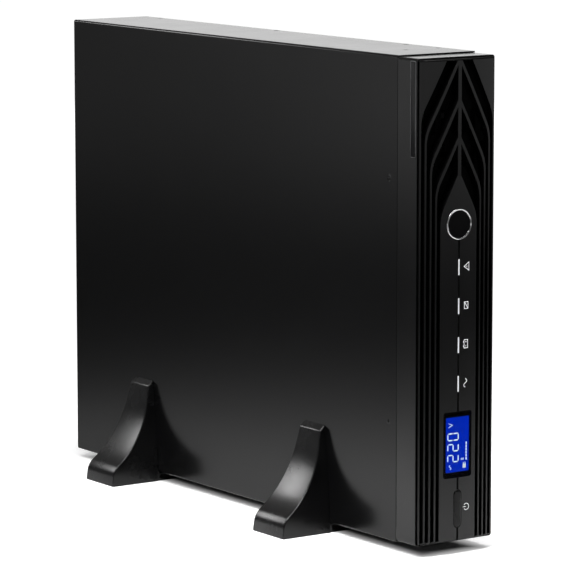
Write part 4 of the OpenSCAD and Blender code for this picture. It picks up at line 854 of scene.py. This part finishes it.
class UPS_OT_screws(bpy.types.Operator):
    """Cross recessed heads on the case and fans, and knurled thumb screws on the card slot"""

    bl_idname = "ups.screws"
    bl_label = "Screw heads"

    def execute(self, context):
        sizes = context.scene.ups_rear
        recess = in_mm(sizes.recess)
        low, high = box_mm("case_screws")
        flush = screw_head(*FLUSH_HEAD, recess) - np.array([0.0, 0.0, FLUSH_HEAD[1]])
        sites = [((FLANGE_SCREW_X, y, level), face)
                 for level, face in ((high[2], TOP), (low[2], UNDER)) for y in FLANGE_SCREW_Y]
        sites += [((low[0], SIDE_SCREW_Y, z), LEFT) for z in SIDE_SCREW_Z]
        case = [loft(place(flush, site, face)) for site, face in sites]
        piece("case_screw_heads", case, "dark_screw", "chassis", ("case_screws",), 30.0)

        pan = screw_head(*PAN_HEAD, recess)
        seat = box_mm("fan_screws")[1][1] - PAN_HEAD[1]
        sites = [(x, seat, z + dz) for z in FAN_HEIGHT.values() for x, dz in fan_corners(sizes)]
        fans = [loft(place(pan, site, REAR)) for site in sites]
        piece("fan_screw_heads", fans, "dark_screw", "chassis", ("fan_screws",), 30.0)

        low, high = box_mm("slot_screws")
        thumb = screw_head(*THUMB_HEAD, recess, THUMB_KNURL)
        x_slot = (high[0] - low[0]) / 2 - THUMB_HEAD[0]
        sites = [(x, high[1] - THUMB_HEAD[1], (low[2] + high[2]) / 2) for x in (-x_slot, x_slot)]
        slot = [loft(place(thumb, site, REAR)) for site in sites]
        piece("slot_thumb_screws", slot, "bright_steel", "chassis", ("slot_screws",), 30.0)
        return {"FINISHED"}


def ring_tube(radius, wire, turns=72, around=12):
    """Torus: a circle of the wire's radius carried round a larger circle, in local a, b and h."""
    big = np.linspace(0.0, 2 * np.pi, turns, endpoint=False)[:, None]
    small = np.linspace(0.0, 2 * np.pi, around, endpoint=False)[None, :]
    reach = radius + wire * np.cos(small)
    return np.dstack([reach * np.cos(big), reach * np.sin(big), wire * np.sin(small) + 0.0 * big])


def bar_tube(start, end, wire, around=12):
    """Round bar between two points of a plane, with its ends rounded off, in local a, b and h."""
    start, end = np.asarray(start, float), np.asarray(end, float)
    way = (end - start) / np.linalg.norm(end - start)
    side = np.array([-way[1], way[0]])
    turn = np.linspace(0.0, np.pi / 2, 5)
    along = np.concatenate([-wire * np.cos(turn), np.linalg.norm(end - start) + wire * np.sin(turn)])
    size = wire * np.maximum(np.concatenate([np.sin(turn), np.cos(turn)]), 0.02)
    small = np.linspace(0.0, 2 * np.pi, around, endpoint=False)
    flat = start + along[:, None, None] * way + (size[:, None] * np.cos(small))[..., None] * side
    return np.dstack([flat, size[:, None] * np.sin(small)])


class UPS_OT_guards(bpy.types.Operator):
    """Plated wire guards over both fans: four rings, two crossed bars and an eye at each screw"""

    bl_idname = "ups.guards"
    bl_label = "Fan guards"

    def execute(self, context):
        sizes = context.scene.ups_rear
        wire = in_mm(sizes.guard_wire)
        low, high = box_mm("fan_guards")
        level = (low[1] + high[1]) / 2
        stop = in_mm(sizes.fan_pitch) / 2 - GUARD_BAR_SHORT
        rings = [ring_tube(radius, wire) for radius in GUARD_RINGS]
        rings += [ring_tube(GUARD_EYE, wire, 28) + np.array([x, z, 0.0]) for x, z in fan_corners(sizes)]
        bars = [bar_tube((-stop, -stop * way), (stop, stop * way), wire) for way in (-1.0, 1.0)]
        skins = []
        for z in FAN_HEIGHT.values():
            skins += [loft(place(ring, (0.0, level, z), REAR), True) for ring in rings]
            skins += [loft(place(bar, (0.0, level, z), REAR)) for bar in bars]
        piece("fan_guard_wires", skins, "guard_wire", "chassis", ("fan_guards",), 50.0)
        return {"FINISHED"}


def fan_blades(hub, tip, thick, camber):
    """Fan blades: at each radius an ellipse as long as the chord and as thick as the blade, bowed by a
    parabola, is turned to the pitch there, wrapped round the axis, and led forward towards the tip."""
    out = np.linspace(0.0, 1.0, 14)[:, None]
    turn = np.linspace(0.0, 2 * np.pi, 22, endpoint=False)[None, :]
    radius, chord, pitch = (
        root + (end - root) * out for root, end in ((hub - BLADE_SINK, tip), BLADE_CHORD, BLADE_PITCH))
    pitch = np.radians(pitch)
    along = chord / 2 * np.cos(turn)
    bowed = thick / 2 * np.sin(turn) + camber * np.sin(turn) ** 2
    axial = along * np.sin(pitch) + bowed * np.cos(pitch)
    around = along * np.cos(pitch) - bowed * np.sin(pitch)
    spin = 2 * np.pi * np.arange(BLADE_COUNT) / BLADE_COUNT
    angle = around / radius + BLADE_LEAD * out ** 1.5 + spin[:, None, None]
    radius, axial = np.broadcast_to(radius, angle.shape), np.broadcast_to(axial, angle.shape)
    return np.stack([radius * np.cos(angle), radius * np.sin(angle), axial], axis=-1)


def turned(profile, steps=56):
    """Solid of revolution: a closed profile of radius and height carried round the axis."""
    profile = np.asarray(profile, float)
    turn = np.linspace(0.0, 2 * np.pi, steps, endpoint=False)[:, None]
    return np.dstack([
        profile[:, 0] * np.cos(turn), profile[:, 0] * np.sin(turn), profile[:, 1] + 0.0 * turn])


class UPS_OT_rotors(bpy.types.Operator):
    """Two fan rotors, each a cupped hub with seven curved blades"""

    bl_idname = "ups.rotors"
    bl_label = "Fan rotors"

    def execute(self, context):
        sizes = context.scene.ups_rear
        hub = in_mm(sizes.hub_radius)
        blades = fan_blades(
            hub, in_mm(sizes.tip_radius), in_mm(sizes.blade_thickness), in_mm(sizes.blade_camber))
        corner, wall, floor = 1.6, 2.0, 3.0
        for body in ("upper_fan", "lower_fan"):
            node = f"{body}_rotor"
            low, high = box_mm(node)
            rim = (high[1] - low[1]) / 2
            face, centre = -rim, (0.0, (low[1] + high[1]) / 2, FAN_HEIGHT[body])
            cup = turned([
                (0.0, face), (hub - corner, face), (hub - 0.5, face + 0.45), (hub, face + corner),
                (hub, rim), (hub - wall, rim), (hub - wall, face + floor), (0.0, face + floor)])
            skins = [loft(place(blade, centre, REAR)) for blade in blades]
            skins.append(loft(place(cup, centre, REAR), True))
            piece(f"{node}_blades", skins, "fan_plastic", body, (node,), 40.0)
        return {"FINISHED"}


def ribbon_path(low, high):
    """Middle line of the ribbon in depth and height: out of the plug, up, over, down and back, with each
    corner a quarter circle."""
    up, down, foot, head, run = low[1] + 2.35, low[1] + 5.35, 295.4, high[2] - 0.4, 309.4
    bend, fold = 1.2, 1.5
    return np.concatenate([
        [[low[1], foot]],
        arc_points((up - bend, foot + bend), bend, 270.0, 360.0, 6),
        arc_points(((up + down) / 2, head - fold), fold, 180.0, 0.0, 12),
        arc_points((down + bend, run + bend), bend, 180.0, 270.0, 6),
        np.stack([np.linspace(down + 5.6, high[1], 14), np.full(14, run)], axis=1),
    ])


class UPS_OT_ribbon(bpy.types.Operator):
    """Grey ribbon cable between two boards, with a fold in it"""

    bl_idname = "ups.ribbon"
    bl_label = "Ribbon cable"

    def execute(self, context):
        low, high = box_mm("ribbon_cable")
        path = ribbon_path(low, high)
        half, thick, wires, valley = 7.0, 0.34, 10, 0.72
        x = np.linspace(-half, half, 61)
        ridge = np.abs(np.sin(np.pi * wires * (x + half) / (2 * half)))
        swell = thick * (valley + (1.0 - valley) * ridge)
        loop = np.stack([np.concatenate([x, x[::-1]]), np.concatenate([swell, -swell[::-1]])], axis=1)
        step = np.gradient(path, axis=0)
        step /= np.linalg.norm(step, axis=1, keepdims=True)
        side = np.stack([-step[:, 1], step[:, 0]], axis=1)
        flat = path[:, None, :] + loop[None, :, 1:2] * side[:, None, :]
        across = np.broadcast_to(loop[None, :, 0], flat.shape[:2])
        skin = loft(np.dstack([across, flat[..., 0], flat[..., 1]]))
        ribbon = piece("ribbon_cable_wires", [skin], "ribbon_grey", None, ("ribbon_cable",), 60.0)
        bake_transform(ribbon)
        return {"FINISHED"}


def on_bow(crown, bow):
    """Surface of the bowed front, a circle about an upright axis: the face falls back by the circle's
    rise there."""
    def drape(flat, lift):
        depth = crown + bow - np.sqrt(bow ** 2 - flat[:, 0] ** 2) - lift
        return np.stack([flat[:, 0], depth, flat[:, 1]], axis=1)
    return drape


def sideways(path, centre):
    """A path drawn upright and then turned a quarter turn, as print on a case that also lies flat."""
    path = np.asarray(path, float)
    return np.stack([centre[0] - path[:, 1], centre[1] + path[:, 0]], axis=1)


def symbol_paths():
    """The five symbols at unit height, as lists of open or closed paths: power, sine, battery, bypass,
    warning."""
    wave = np.linspace(-1.0, 1.0, 33)
    return {
        "power": [(arc_points((0.0, 0.0), 0.44, 125.0, 415.0, 33), False),
                  ([(0.0, 0.08), (0.0, 0.60)], False)],
        "sine": [(np.stack([0.58 * wave, -0.27 * np.sin(np.pi * wave)], axis=1), False)],
        "battery": [([(-0.56, -0.36), (0.56, -0.36), (0.56, 0.26), (-0.56, 0.26)], True),
                    ([(-0.40, 0.38), (-0.20, 0.38)], False), ([(0.20, 0.38), (0.40, 0.38)], False),
                    ([(-0.38, -0.05), (-0.18, -0.05)], False), ([(0.18, -0.05), (0.38, -0.05)], False),
                    ([(0.28, -0.15), (0.28, 0.05)], False)],
        "bypass": [([(-0.46, -0.32), (0.46, -0.32), (0.46, 0.32), (-0.46, 0.32)], True),
                   ([(-0.40, -0.26), (0.40, 0.26)], False)],
        "warning": [([(-0.56, -0.40), (0.56, -0.40), (0.0, 0.44)], True),
                    ([(0.0, 0.12), (0.0, -0.10)], False), ([(0.0, -0.20), (0.0, -0.25)], False)],
    }


class UPS_OT_symbols(bpy.types.Operator):
    """Printed symbols beside the light bars and the power button, and the black line down the panel"""

    bl_idname = "ups.symbols"
    bl_label = "Panel symbols"

    def execute(self, context):
        sizes = context.scene.ups_front
        low = box_mm("control_panel")[0]
        drape = on_bow(low[1], in_mm(sizes.bow_radius))
        size, width = in_mm(sizes.symbol), in_mm(sizes.stroke)
        print_top, print_foot = 0.03, -0.05
        paths = symbol_paths()
        skins = []
        for name, site in SYMBOL_AT.items():
            thin = THIN_SYMBOLS.get(name, 1.0) * width
            for path, closed in paths[name]:
                sides = stroke(sideways(np.asarray(path) * size, site), thin, closed)
                skins.append(printed(sides, drape, print_top, print_foot, closed))
        # The symbols' finish glows with painted light, though they are print
        piece("panel_symbols", skins, "mark_white", "bezel", (), 50.0)

        bar_low, bar_high = box_mm("light_bars")
        line_half = in_mm(sizes.line_half)
        starts = bar_low[2] + LIGHT_PITCH * np.arange(LIGHT_COUNT)
        ends = bar_high[2] - LIGHT_PITCH * np.arange(LIGHT_COUNT)[::-1]
        stops = [(low[2] + 0.4, BUTTON_GAP[0]), (BUTTON_GAP[1], DISPLAY_GAP[0])]
        stops += zip([DISPLAY_GAP[1], *ends], [*starts, BADGE_FOOT])
        strips = [(0.0, line_half, start, end) for start, end in stops]
        margin = (line_half - bar_high[0]) / 2
        beside = bar_high[0] + margin
        strips += [(x, margin, start, end) for x in (-beside, beside) for start, end in zip(starts, ends)]
        corner, depth, edge, sunk = 0.05, 0.9, 0.02, 0.87
        lines = []
        for x, half, start, end in strips:
            strip = slab(half, (end - start) / 2, corner, depth, edge)
            lines.append(loft(place(strip, (x, low[1] + sunk, (start + end) / 2), FRONT)))
        piece("panel_centre_line", lines, "groove_black", "bezel", (), 40.0)
        return {"FINISHED"}


def digit_paths(figure, height, pitch):
    """Seven bars of a figure, each pointed at both ends, for the bars that the figure lights."""
    wide, tall, half, gap, point = pitch * 0.62, height, height / 2, 0.35, 1.0
    ends = {
        "a": ((0, tall), (wide, tall)), "b": ((wide, tall), (wide, half)), "c": ((wide, half), (wide, 0)),
        "d": ((0, 0), (wide, 0)), "e": ((0, 0), (0, half)), "f": ((0, half), (0, tall)),
        "g": ((0, half), (wide, half)),
    }
    lines = []
    for bar in SEGMENTS[figure]:
        start, end = (np.array(at, float) for at in ends[bar])
        way = (end - start) / np.linalg.norm(end - start)
        lines.append(np.stack([start + way * gap, start + way * point, end - way * point, end - way * gap]))
    return lines


def display_lines(sizes, middle):
    """Everything drawn on the display, each with its path, its width and its place: figures, a unit, a
    wave, level bars and small marks."""
    height, pitch, width = (
        in_mm(value) for value in (sizes.digit_height, sizes.digit_pitch, sizes.digit_stroke))
    pointed, fine = np.array([0.2, 1.0, 1.0, 0.2]) * width, 0.6
    wave = np.linspace(-1.0, 1.0, 21)
    unit = np.array([(0.0, 4.2), (1.9, 0.0), (3.8, 4.2)])
    level = np.array([(0.0, 0.0), (1.0, 0.0)])
    figures_at, unit_at, wave_at, block_at = (
        (x, middle + z) for x, z in ((1.2, -15.0), (-5.4, 16.4), (-7.7, -19.8), (8.2, -21.6)))
    levels_at = [(10.4, middle - 14.5 + 2.8 * index) for index in range(6)]
    scale_at = [(7.2 - 1.2 * index, middle - 14.2) for index in range(3)]
    marks_at = [(x, middle - 18.0) for x in (7.2, 9.2)]
    lines = [(path + np.array([index * pitch, 0.0]), pointed, figures_at)
             for index, figure in enumerate("220") for path in digit_paths(figure, height, pitch)]
    lines.append((unit, fine, unit_at))
    lines.append((np.stack([1.9 * wave, np.sin(np.pi * wave)], axis=1), fine, wave_at))
    lines += [(2.3 * level, 1.3, site) for site in levels_at]
    lines += [(1.84 * level, fine, site) for site in scale_at]
    lines.append((3.6 * level, 3.4, block_at))
    lines += [(1.6 * level, 0.7, site) for site in marks_at]
    return lines


def bowed_block(block, centre, crown, bow):
    """Skin of a block whose outline is laid on the bowed front and whose heights go straight out."""
    cut = dense(block)
    skin = on_bow(crown, bow)(cut[..., :2].reshape(-1, 2) + np.asarray(centre), 0.0)
    skin[:, 1] -= cut[..., 2].reshape(-1)
    return loft(skin.reshape(cut.shape))


class UPS_OT_display(bpy.types.Operator):
    """Display pane with a black surround, a lit field, figures, level bars and small marks"""

    bl_idname = "ups.display"
    bl_label = "Display"

    def execute(self, context):
        sizes = context.scene.ups_front
        crown, bow = box_mm("control_panel")[0][1], in_mm(sizes.bow_radius)
        low, high = box_mm("lcd_window")
        middle, half_x, half_z = (low[2] + high[2]) / 2, (high[0] - low[0]) / 2, (high[2] - low[2]) / 2
        pane_sunk, pane_depth, pane_edge, corner = 0.9, 0.6, 0.15, 1.5
        field_sunk, field_depth, field_edge = 1.1, 0.3, 0.05
        field_half, field_corner, lap = np.array([13.0, 25.0]), 0.8, 0.1
        rim_side, rim_end, rim_corner = 1.1, 0.5, 2.5
        surround_film, rim_film, mark_film = (0.12, 0.02), (0.06, -0.3), (0.08, -0.02)
        pane_at, field_at, rim_at = (0.0, middle), (0.5, middle + 0.4), (0.0, middle + 0.5)
        pane = pillow(half_x, half_z, corner, pane_depth, pane_edge)
        pane = bowed_block(pane, pane_at, crown + pane_sunk, bow)
        piece("display_pane", [pane], "display_glass", "bezel", ("lcd_window",), 40.0)

        field = slab(*field_half, field_corner, field_depth, field_edge)
        field = bowed_block(field, field_at, crown + field_sunk + field_depth, bow)
        piece("display_field", [field], "display_blue", "bezel", (), 40.0)

        drape = on_bow(crown + field_sunk, bow)
        inner = dense(rounded_loops(*(field_half - lap), field_corner)[0]) + np.array(field_at)
        outer = dense(rounded_loops(half_x, half_z, corner)[0]) + np.array(pane_at)
        edge = dense(rounded_loops(half_x + rim_side, half_z + rim_end, rim_corner)[0]) + np.array(rim_at)
        surround = printed(np.stack([outer, inner], axis=1), drape, *surround_film, True)
        rim = printed(np.stack([edge, outer], axis=1), on_bow(crown, bow), *rim_film, True)
        piece("display_surround", [surround, rim], "groove_black", "bezel", (), 40.0)

        skins = [printed(stroke(sideways(path, site), wide), drape, *mark_film)
                 for path, wide, site in display_lines(sizes, middle)]
        piece("display_marks", skins, "digit_white", "bezel", (), 50.0)
        return {"FINISHED"}


class UPS_OT_label(bpy.types.Operator):
    """Bare black label with a thin pale border on the bezel's side"""

    bl_idname = "ups.label"
    bl_label = "Side label"

    def execute(self, context):
        width = in_mm(context.scene.ups_front.label_border)
        centre = (box_mm("bezel_frame")[0][0], *LABEL_MIDDLE)
        half_a, half_b = LABEL_HALF
        corner, edge, depth, sunk, inset = 1.0, 0.05, 0.16, 0.04, 0.7
        border_top, border_foot = 0.15, 0.08
        film = slab(half_a, half_b, corner, depth, edge) - np.array([0.0, 0.0, sunk])
        film = loft(place(film, centre, LEFT))
        piece("side_label", [film], "label_film", "bezel", (), 40.0)
        line = rounded_loops(half_a - inset, half_b - inset, inset)[0]

        def drape(flat, lift):
            return place(np.column_stack([flat, np.full(len(flat), lift)]), centre, LEFT)

        border = printed(stroke(line, width, True), drape, border_top, border_foot, True)
        piece("side_label_border", [border], "label_line", "bezel", (), 50.0)
        return {"FINISHED"}


class UPS_OT_button(bpy.types.Operator):
    """Crowned power button with a rounded rim"""

    bl_idname = "ups.button"
    bl_label = "Power button"

    def execute(self, context):
        sizes = context.scene.ups_front
        low, high = box_mm("power_button")
        wider = in_mm(sizes.button_flange)
        half_a, half_b = (high[0] - low[0]) / 2 - wider, (high[2] - low[2]) / 2 - wider
        crown = in_mm(sizes.button_crown)
        depth = high[1] - low[1] - crown
        flange_depth, flange_edge = 1.6, 0.3
        key = pillow(half_a, half_b, half_a - 0.01, depth, in_mm(sizes.button_edge), crown)
        flange = slab(half_a + wider, half_b + wider, half_a + wider - 0.1, flange_depth, flange_edge)
        origin = (0.0, high[1], (low[2] + high[2]) / 2)
        skins = [loft(place(key, origin, FRONT)), loft(place(flange, origin, FRONT))]
        piece("power_button_key", skins, "button_plastic", "power_button", ("power_button",), 40.0)
        return {"FINISHED"}


def softbox(name, at, look, size, power, spread, tilt):
    """A rectangular area lamp at a place in metres, turned towards a point and tilted about that way,
    with its light kept within a spread."""
    lamp = bpy.data.lights.new(name, "AREA")
    lamp.shape = "RECTANGLE"
    lamp.size, lamp.size_y = size
    lamp.energy = power
    lamp.spread = np.radians(spread)
    thing = bpy.data.objects.new(name, lamp)
    way = Vector(look) - Vector(at)
    turn = way.to_track_quat("-Z", "Y").to_matrix().to_4x4() @ Matrix.Rotation(np.radians(tilt), 4, "Z")
    thing.matrix_world = Matrix.Translation(at) @ turn
    bpy.context.scene.collection.objects.link(thing)


def seen_level(tree, seen, mirrored):
    """One level for rays from the camera, another for rays off mirrors or through glass, and nothing for
    the light that falls on the object."""
    path = add(tree, "ShaderNodeLightPath").outputs
    bent = maths(tree, "MAXIMUM", path["Is Glossy Ray"], path["Is Transmission Ray"])
    direct = maths(tree, "MULTIPLY", path["Is Camera Ray"], seen)
    return maths(tree, "ADD", direct, maths(tree, "MULTIPLY", bent, mirrored))


def smooth_step(tree, value, ends, first, last):
    """A smooth step from one level to another while a value goes from a start to an end."""
    return carry(tree, value, *ends, first, last, "SMOOTHSTEP")


def floor_material(base):
    """Matt studio floor with faint mottle. It glows white where the camera sees it, by two smooth steps
    on the distance outside the case's outline. It glows dimly far off where a surface mirrors it, by a
    smooth step on the distance from the middle, with one level behind the object, one to its sides and
    one in front of it."""
    material, tree, shader = new_material("studio_floor")
    cloud = use(tree, "Grain", {"Scale": 60.0})["Mottle"]
    tree.links.new(mix(tree, cloud, shade(base, 0.99), shade(base, 1.01)), shader.inputs["Base Color"])
    cloud_gloss(tree, shader, (0.85, 0.95))
    shader.inputs["Specular IOR Level"].default_value = 0.0
    spot = own_place(tree)
    away = add(tree, "ShaderNodeVectorMath", {0: spot}, operation="LENGTH").outputs["Value"]
    parts = add(tree, "ShaderNodeSeparateXYZ", {0: spot}).outputs
    aside = maths(tree, "ABSOLUTE", parts["X"])
    along = maths(tree, "ABSOLUTE", parts["Y"])
    past_side = maths(tree, "SUBTRACT", aside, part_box("case_cover")[1][0])
    past_front = maths(tree, "SUBTRACT", along, -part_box("fascia")[0][1])
    outside = maths(tree, "MAXIMUM", past_side, past_front)
    near = smooth_step(tree, outside, SHADOW_EDGE, 0.0, SHADOW_LEVEL)
    white = smooth_step(tree, outside, (SHADOW_EDGE[1], WHITE_FROM), near, 1.0)
    turn = maths(tree, "ARCTAN2", aside, parts["Y"])
    behind = smooth_step(tree, turn, np.radians(BEHIND_TO_ASIDE).tolist(), MIRROR_BEHIND, MIRROR_ASIDE)
    far = smooth_step(tree, turn, np.radians(ASIDE_TO_FRONT).tolist(), behind, MIRROR_FRONT)
    mirrored = smooth_step(tree, away, MIRROR_RISE, 0.0, far)
    glow = add(tree, "ShaderNodeEmission", {"Strength": seen_level(tree, white, mirrored)})
    both = add(tree, "ShaderNodeAddShader", {0: shader.outputs[0], 1: glow.outputs[0]})
    leave = next(node for node in tree.nodes if node.type == "OUTPUT_MATERIAL")
    tree.links.new(both.outputs[0], leave.inputs["Surface"])
    return material


def studio_surround(ambient):
    """World with a faint even light. The camera sees it white, and mirrors see a dim band over the
    horizon."""
    world = bpy.data.worlds.new("studio_surround")
    world.use_nodes = True
    tree = world.node_tree
    tree.nodes.clear()
    way = add(tree, "ShaderNodeTexCoord").outputs["Generated"]
    rise = add(tree, "ShaderNodeSeparateXYZ", {0: way}).outputs["Z"]
    band = smooth_step(tree, rise, (0.0, HORIZON_RISE), HORIZON_LEVEL, ambient)
    even, seen = (
        add(tree, "ShaderNodeBackground", {"Color": WHITE, "Strength": strength}).outputs[0]
        for strength in (ambient, seen_level(tree, 1.0, band)))
    both = add(tree, "ShaderNodeAddShader", {0: even, 1: seen})
    add(tree, "ShaderNodeOutputWorld", {"Surface": both.outputs[0]})
    return world


def photo_camera(lens):
    """Camera at the photo's place and angle."""
    data = bpy.data.cameras.new("photo_camera")
    data.lens = lens
    data.sensor_width = SENSOR_MM
    data.clip_end = 100.0
    camera = bpy.data.objects.new("photo_camera", data)
    forward = Vector(FORWARD).normalized()
    right = Vector(RIGHT)
    right = (right - forward * right.dot(forward)).normalized()
    turn = Matrix((right, right.cross(forward), -forward)).transposed()
    camera.matrix_world = Matrix.Translation(EYE) @ turn.to_4x4()
    return camera


class UPS_OT_stage(bpy.types.Operator):
    """Pale floor, soft lamps, white surround and the camera"""

    bl_idname = "ups.stage"
    bl_label = "Stage"

    def execute(self, context):
        scene = context.scene
        sizes = scene.ups_stage
        half = sizes.floor_half
        mesh = bpy.data.meshes.new("studio_floor")
        corners = [(-half, -half, 0.0), (half, -half, 0.0), (half, half, 0.0), (-half, half, 0.0)]
        mesh.from_pydata(corners, [], [(0, 1, 2, 3)])
        mesh.materials.append(floor_material(scene.ups_colours.floor))
        floor = bpy.data.objects.new("studio_floor", mesh)
        scene.collection.objects.link(floor)
        for name, (at, look, size, spread, tilt) in LAMPS.items():
            softbox(f"{name}_softbox", at, look, size, getattr(sizes, f"{name}_power"), spread, tilt)
        scene.world = studio_surround(sizes.ambient)
        scene.camera = photo_camera(sizes.lens)
        scene.collection.objects.link(scene.camera)
        scene.view_settings.view_transform = "Standard"
        return {"FINISHED"}


OPERATORS = (
    UPS_OT_finishes, UPS_OT_stands, UPS_OT_screws, UPS_OT_guards, UPS_OT_rotors, UPS_OT_ribbon,
    UPS_OT_button, UPS_OT_symbols, UPS_OT_display, UPS_OT_label, UPS_OT_stage,
)
GROUPS = {
    "ups_stands": StandSizes, "ups_front": FrontSizes, "ups_rear": RearSizes, "ups_colours": FinishColours,
    "ups_stage": StageSizes,
}


class UPS_PT_panel(bpy.types.Panel):
    """Lists the sizes, colours and steps of the dressing"""

    bl_idname = "UPS_PT_panel"
    bl_label = "Power supply"
    bl_space_type = "VIEW_3D"
    bl_region_type = "UI"
    bl_category = "Power supply"

    def draw(self, context):
        for name, kind in GROUPS.items():
            column = self.layout.box().column()
            for key in kind.__annotations__:
                column.prop(getattr(context.scene, name), key)
        for operator in OPERATORS:
            self.layout.operator(operator.bl_idname)


def register():
    for kind in (*GROUPS.values(), *OPERATORS, UPS_PT_panel):
        bpy.utils.register_class(kind)
    for name, kind in GROUPS.items():
        setattr(bpy.types.Scene, name, bpy.props.PointerProperty(type=kind))


def unregister():
    for name in GROUPS:
        delattr(bpy.types.Scene, name)
    for kind in (UPS_PT_panel, *reversed(OPERATORS), *reversed(GROUPS.values())):
        bpy.utils.unregister_class(kind)


def main():
    """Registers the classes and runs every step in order."""
    register()
    for operator in OPERATORS:
        family, step = operator.bl_idname.split(".")
        getattr(getattr(bpy.ops, family), step)()
    bpy.context.view_layer.update()


if __name__ == "__main__":
    main()
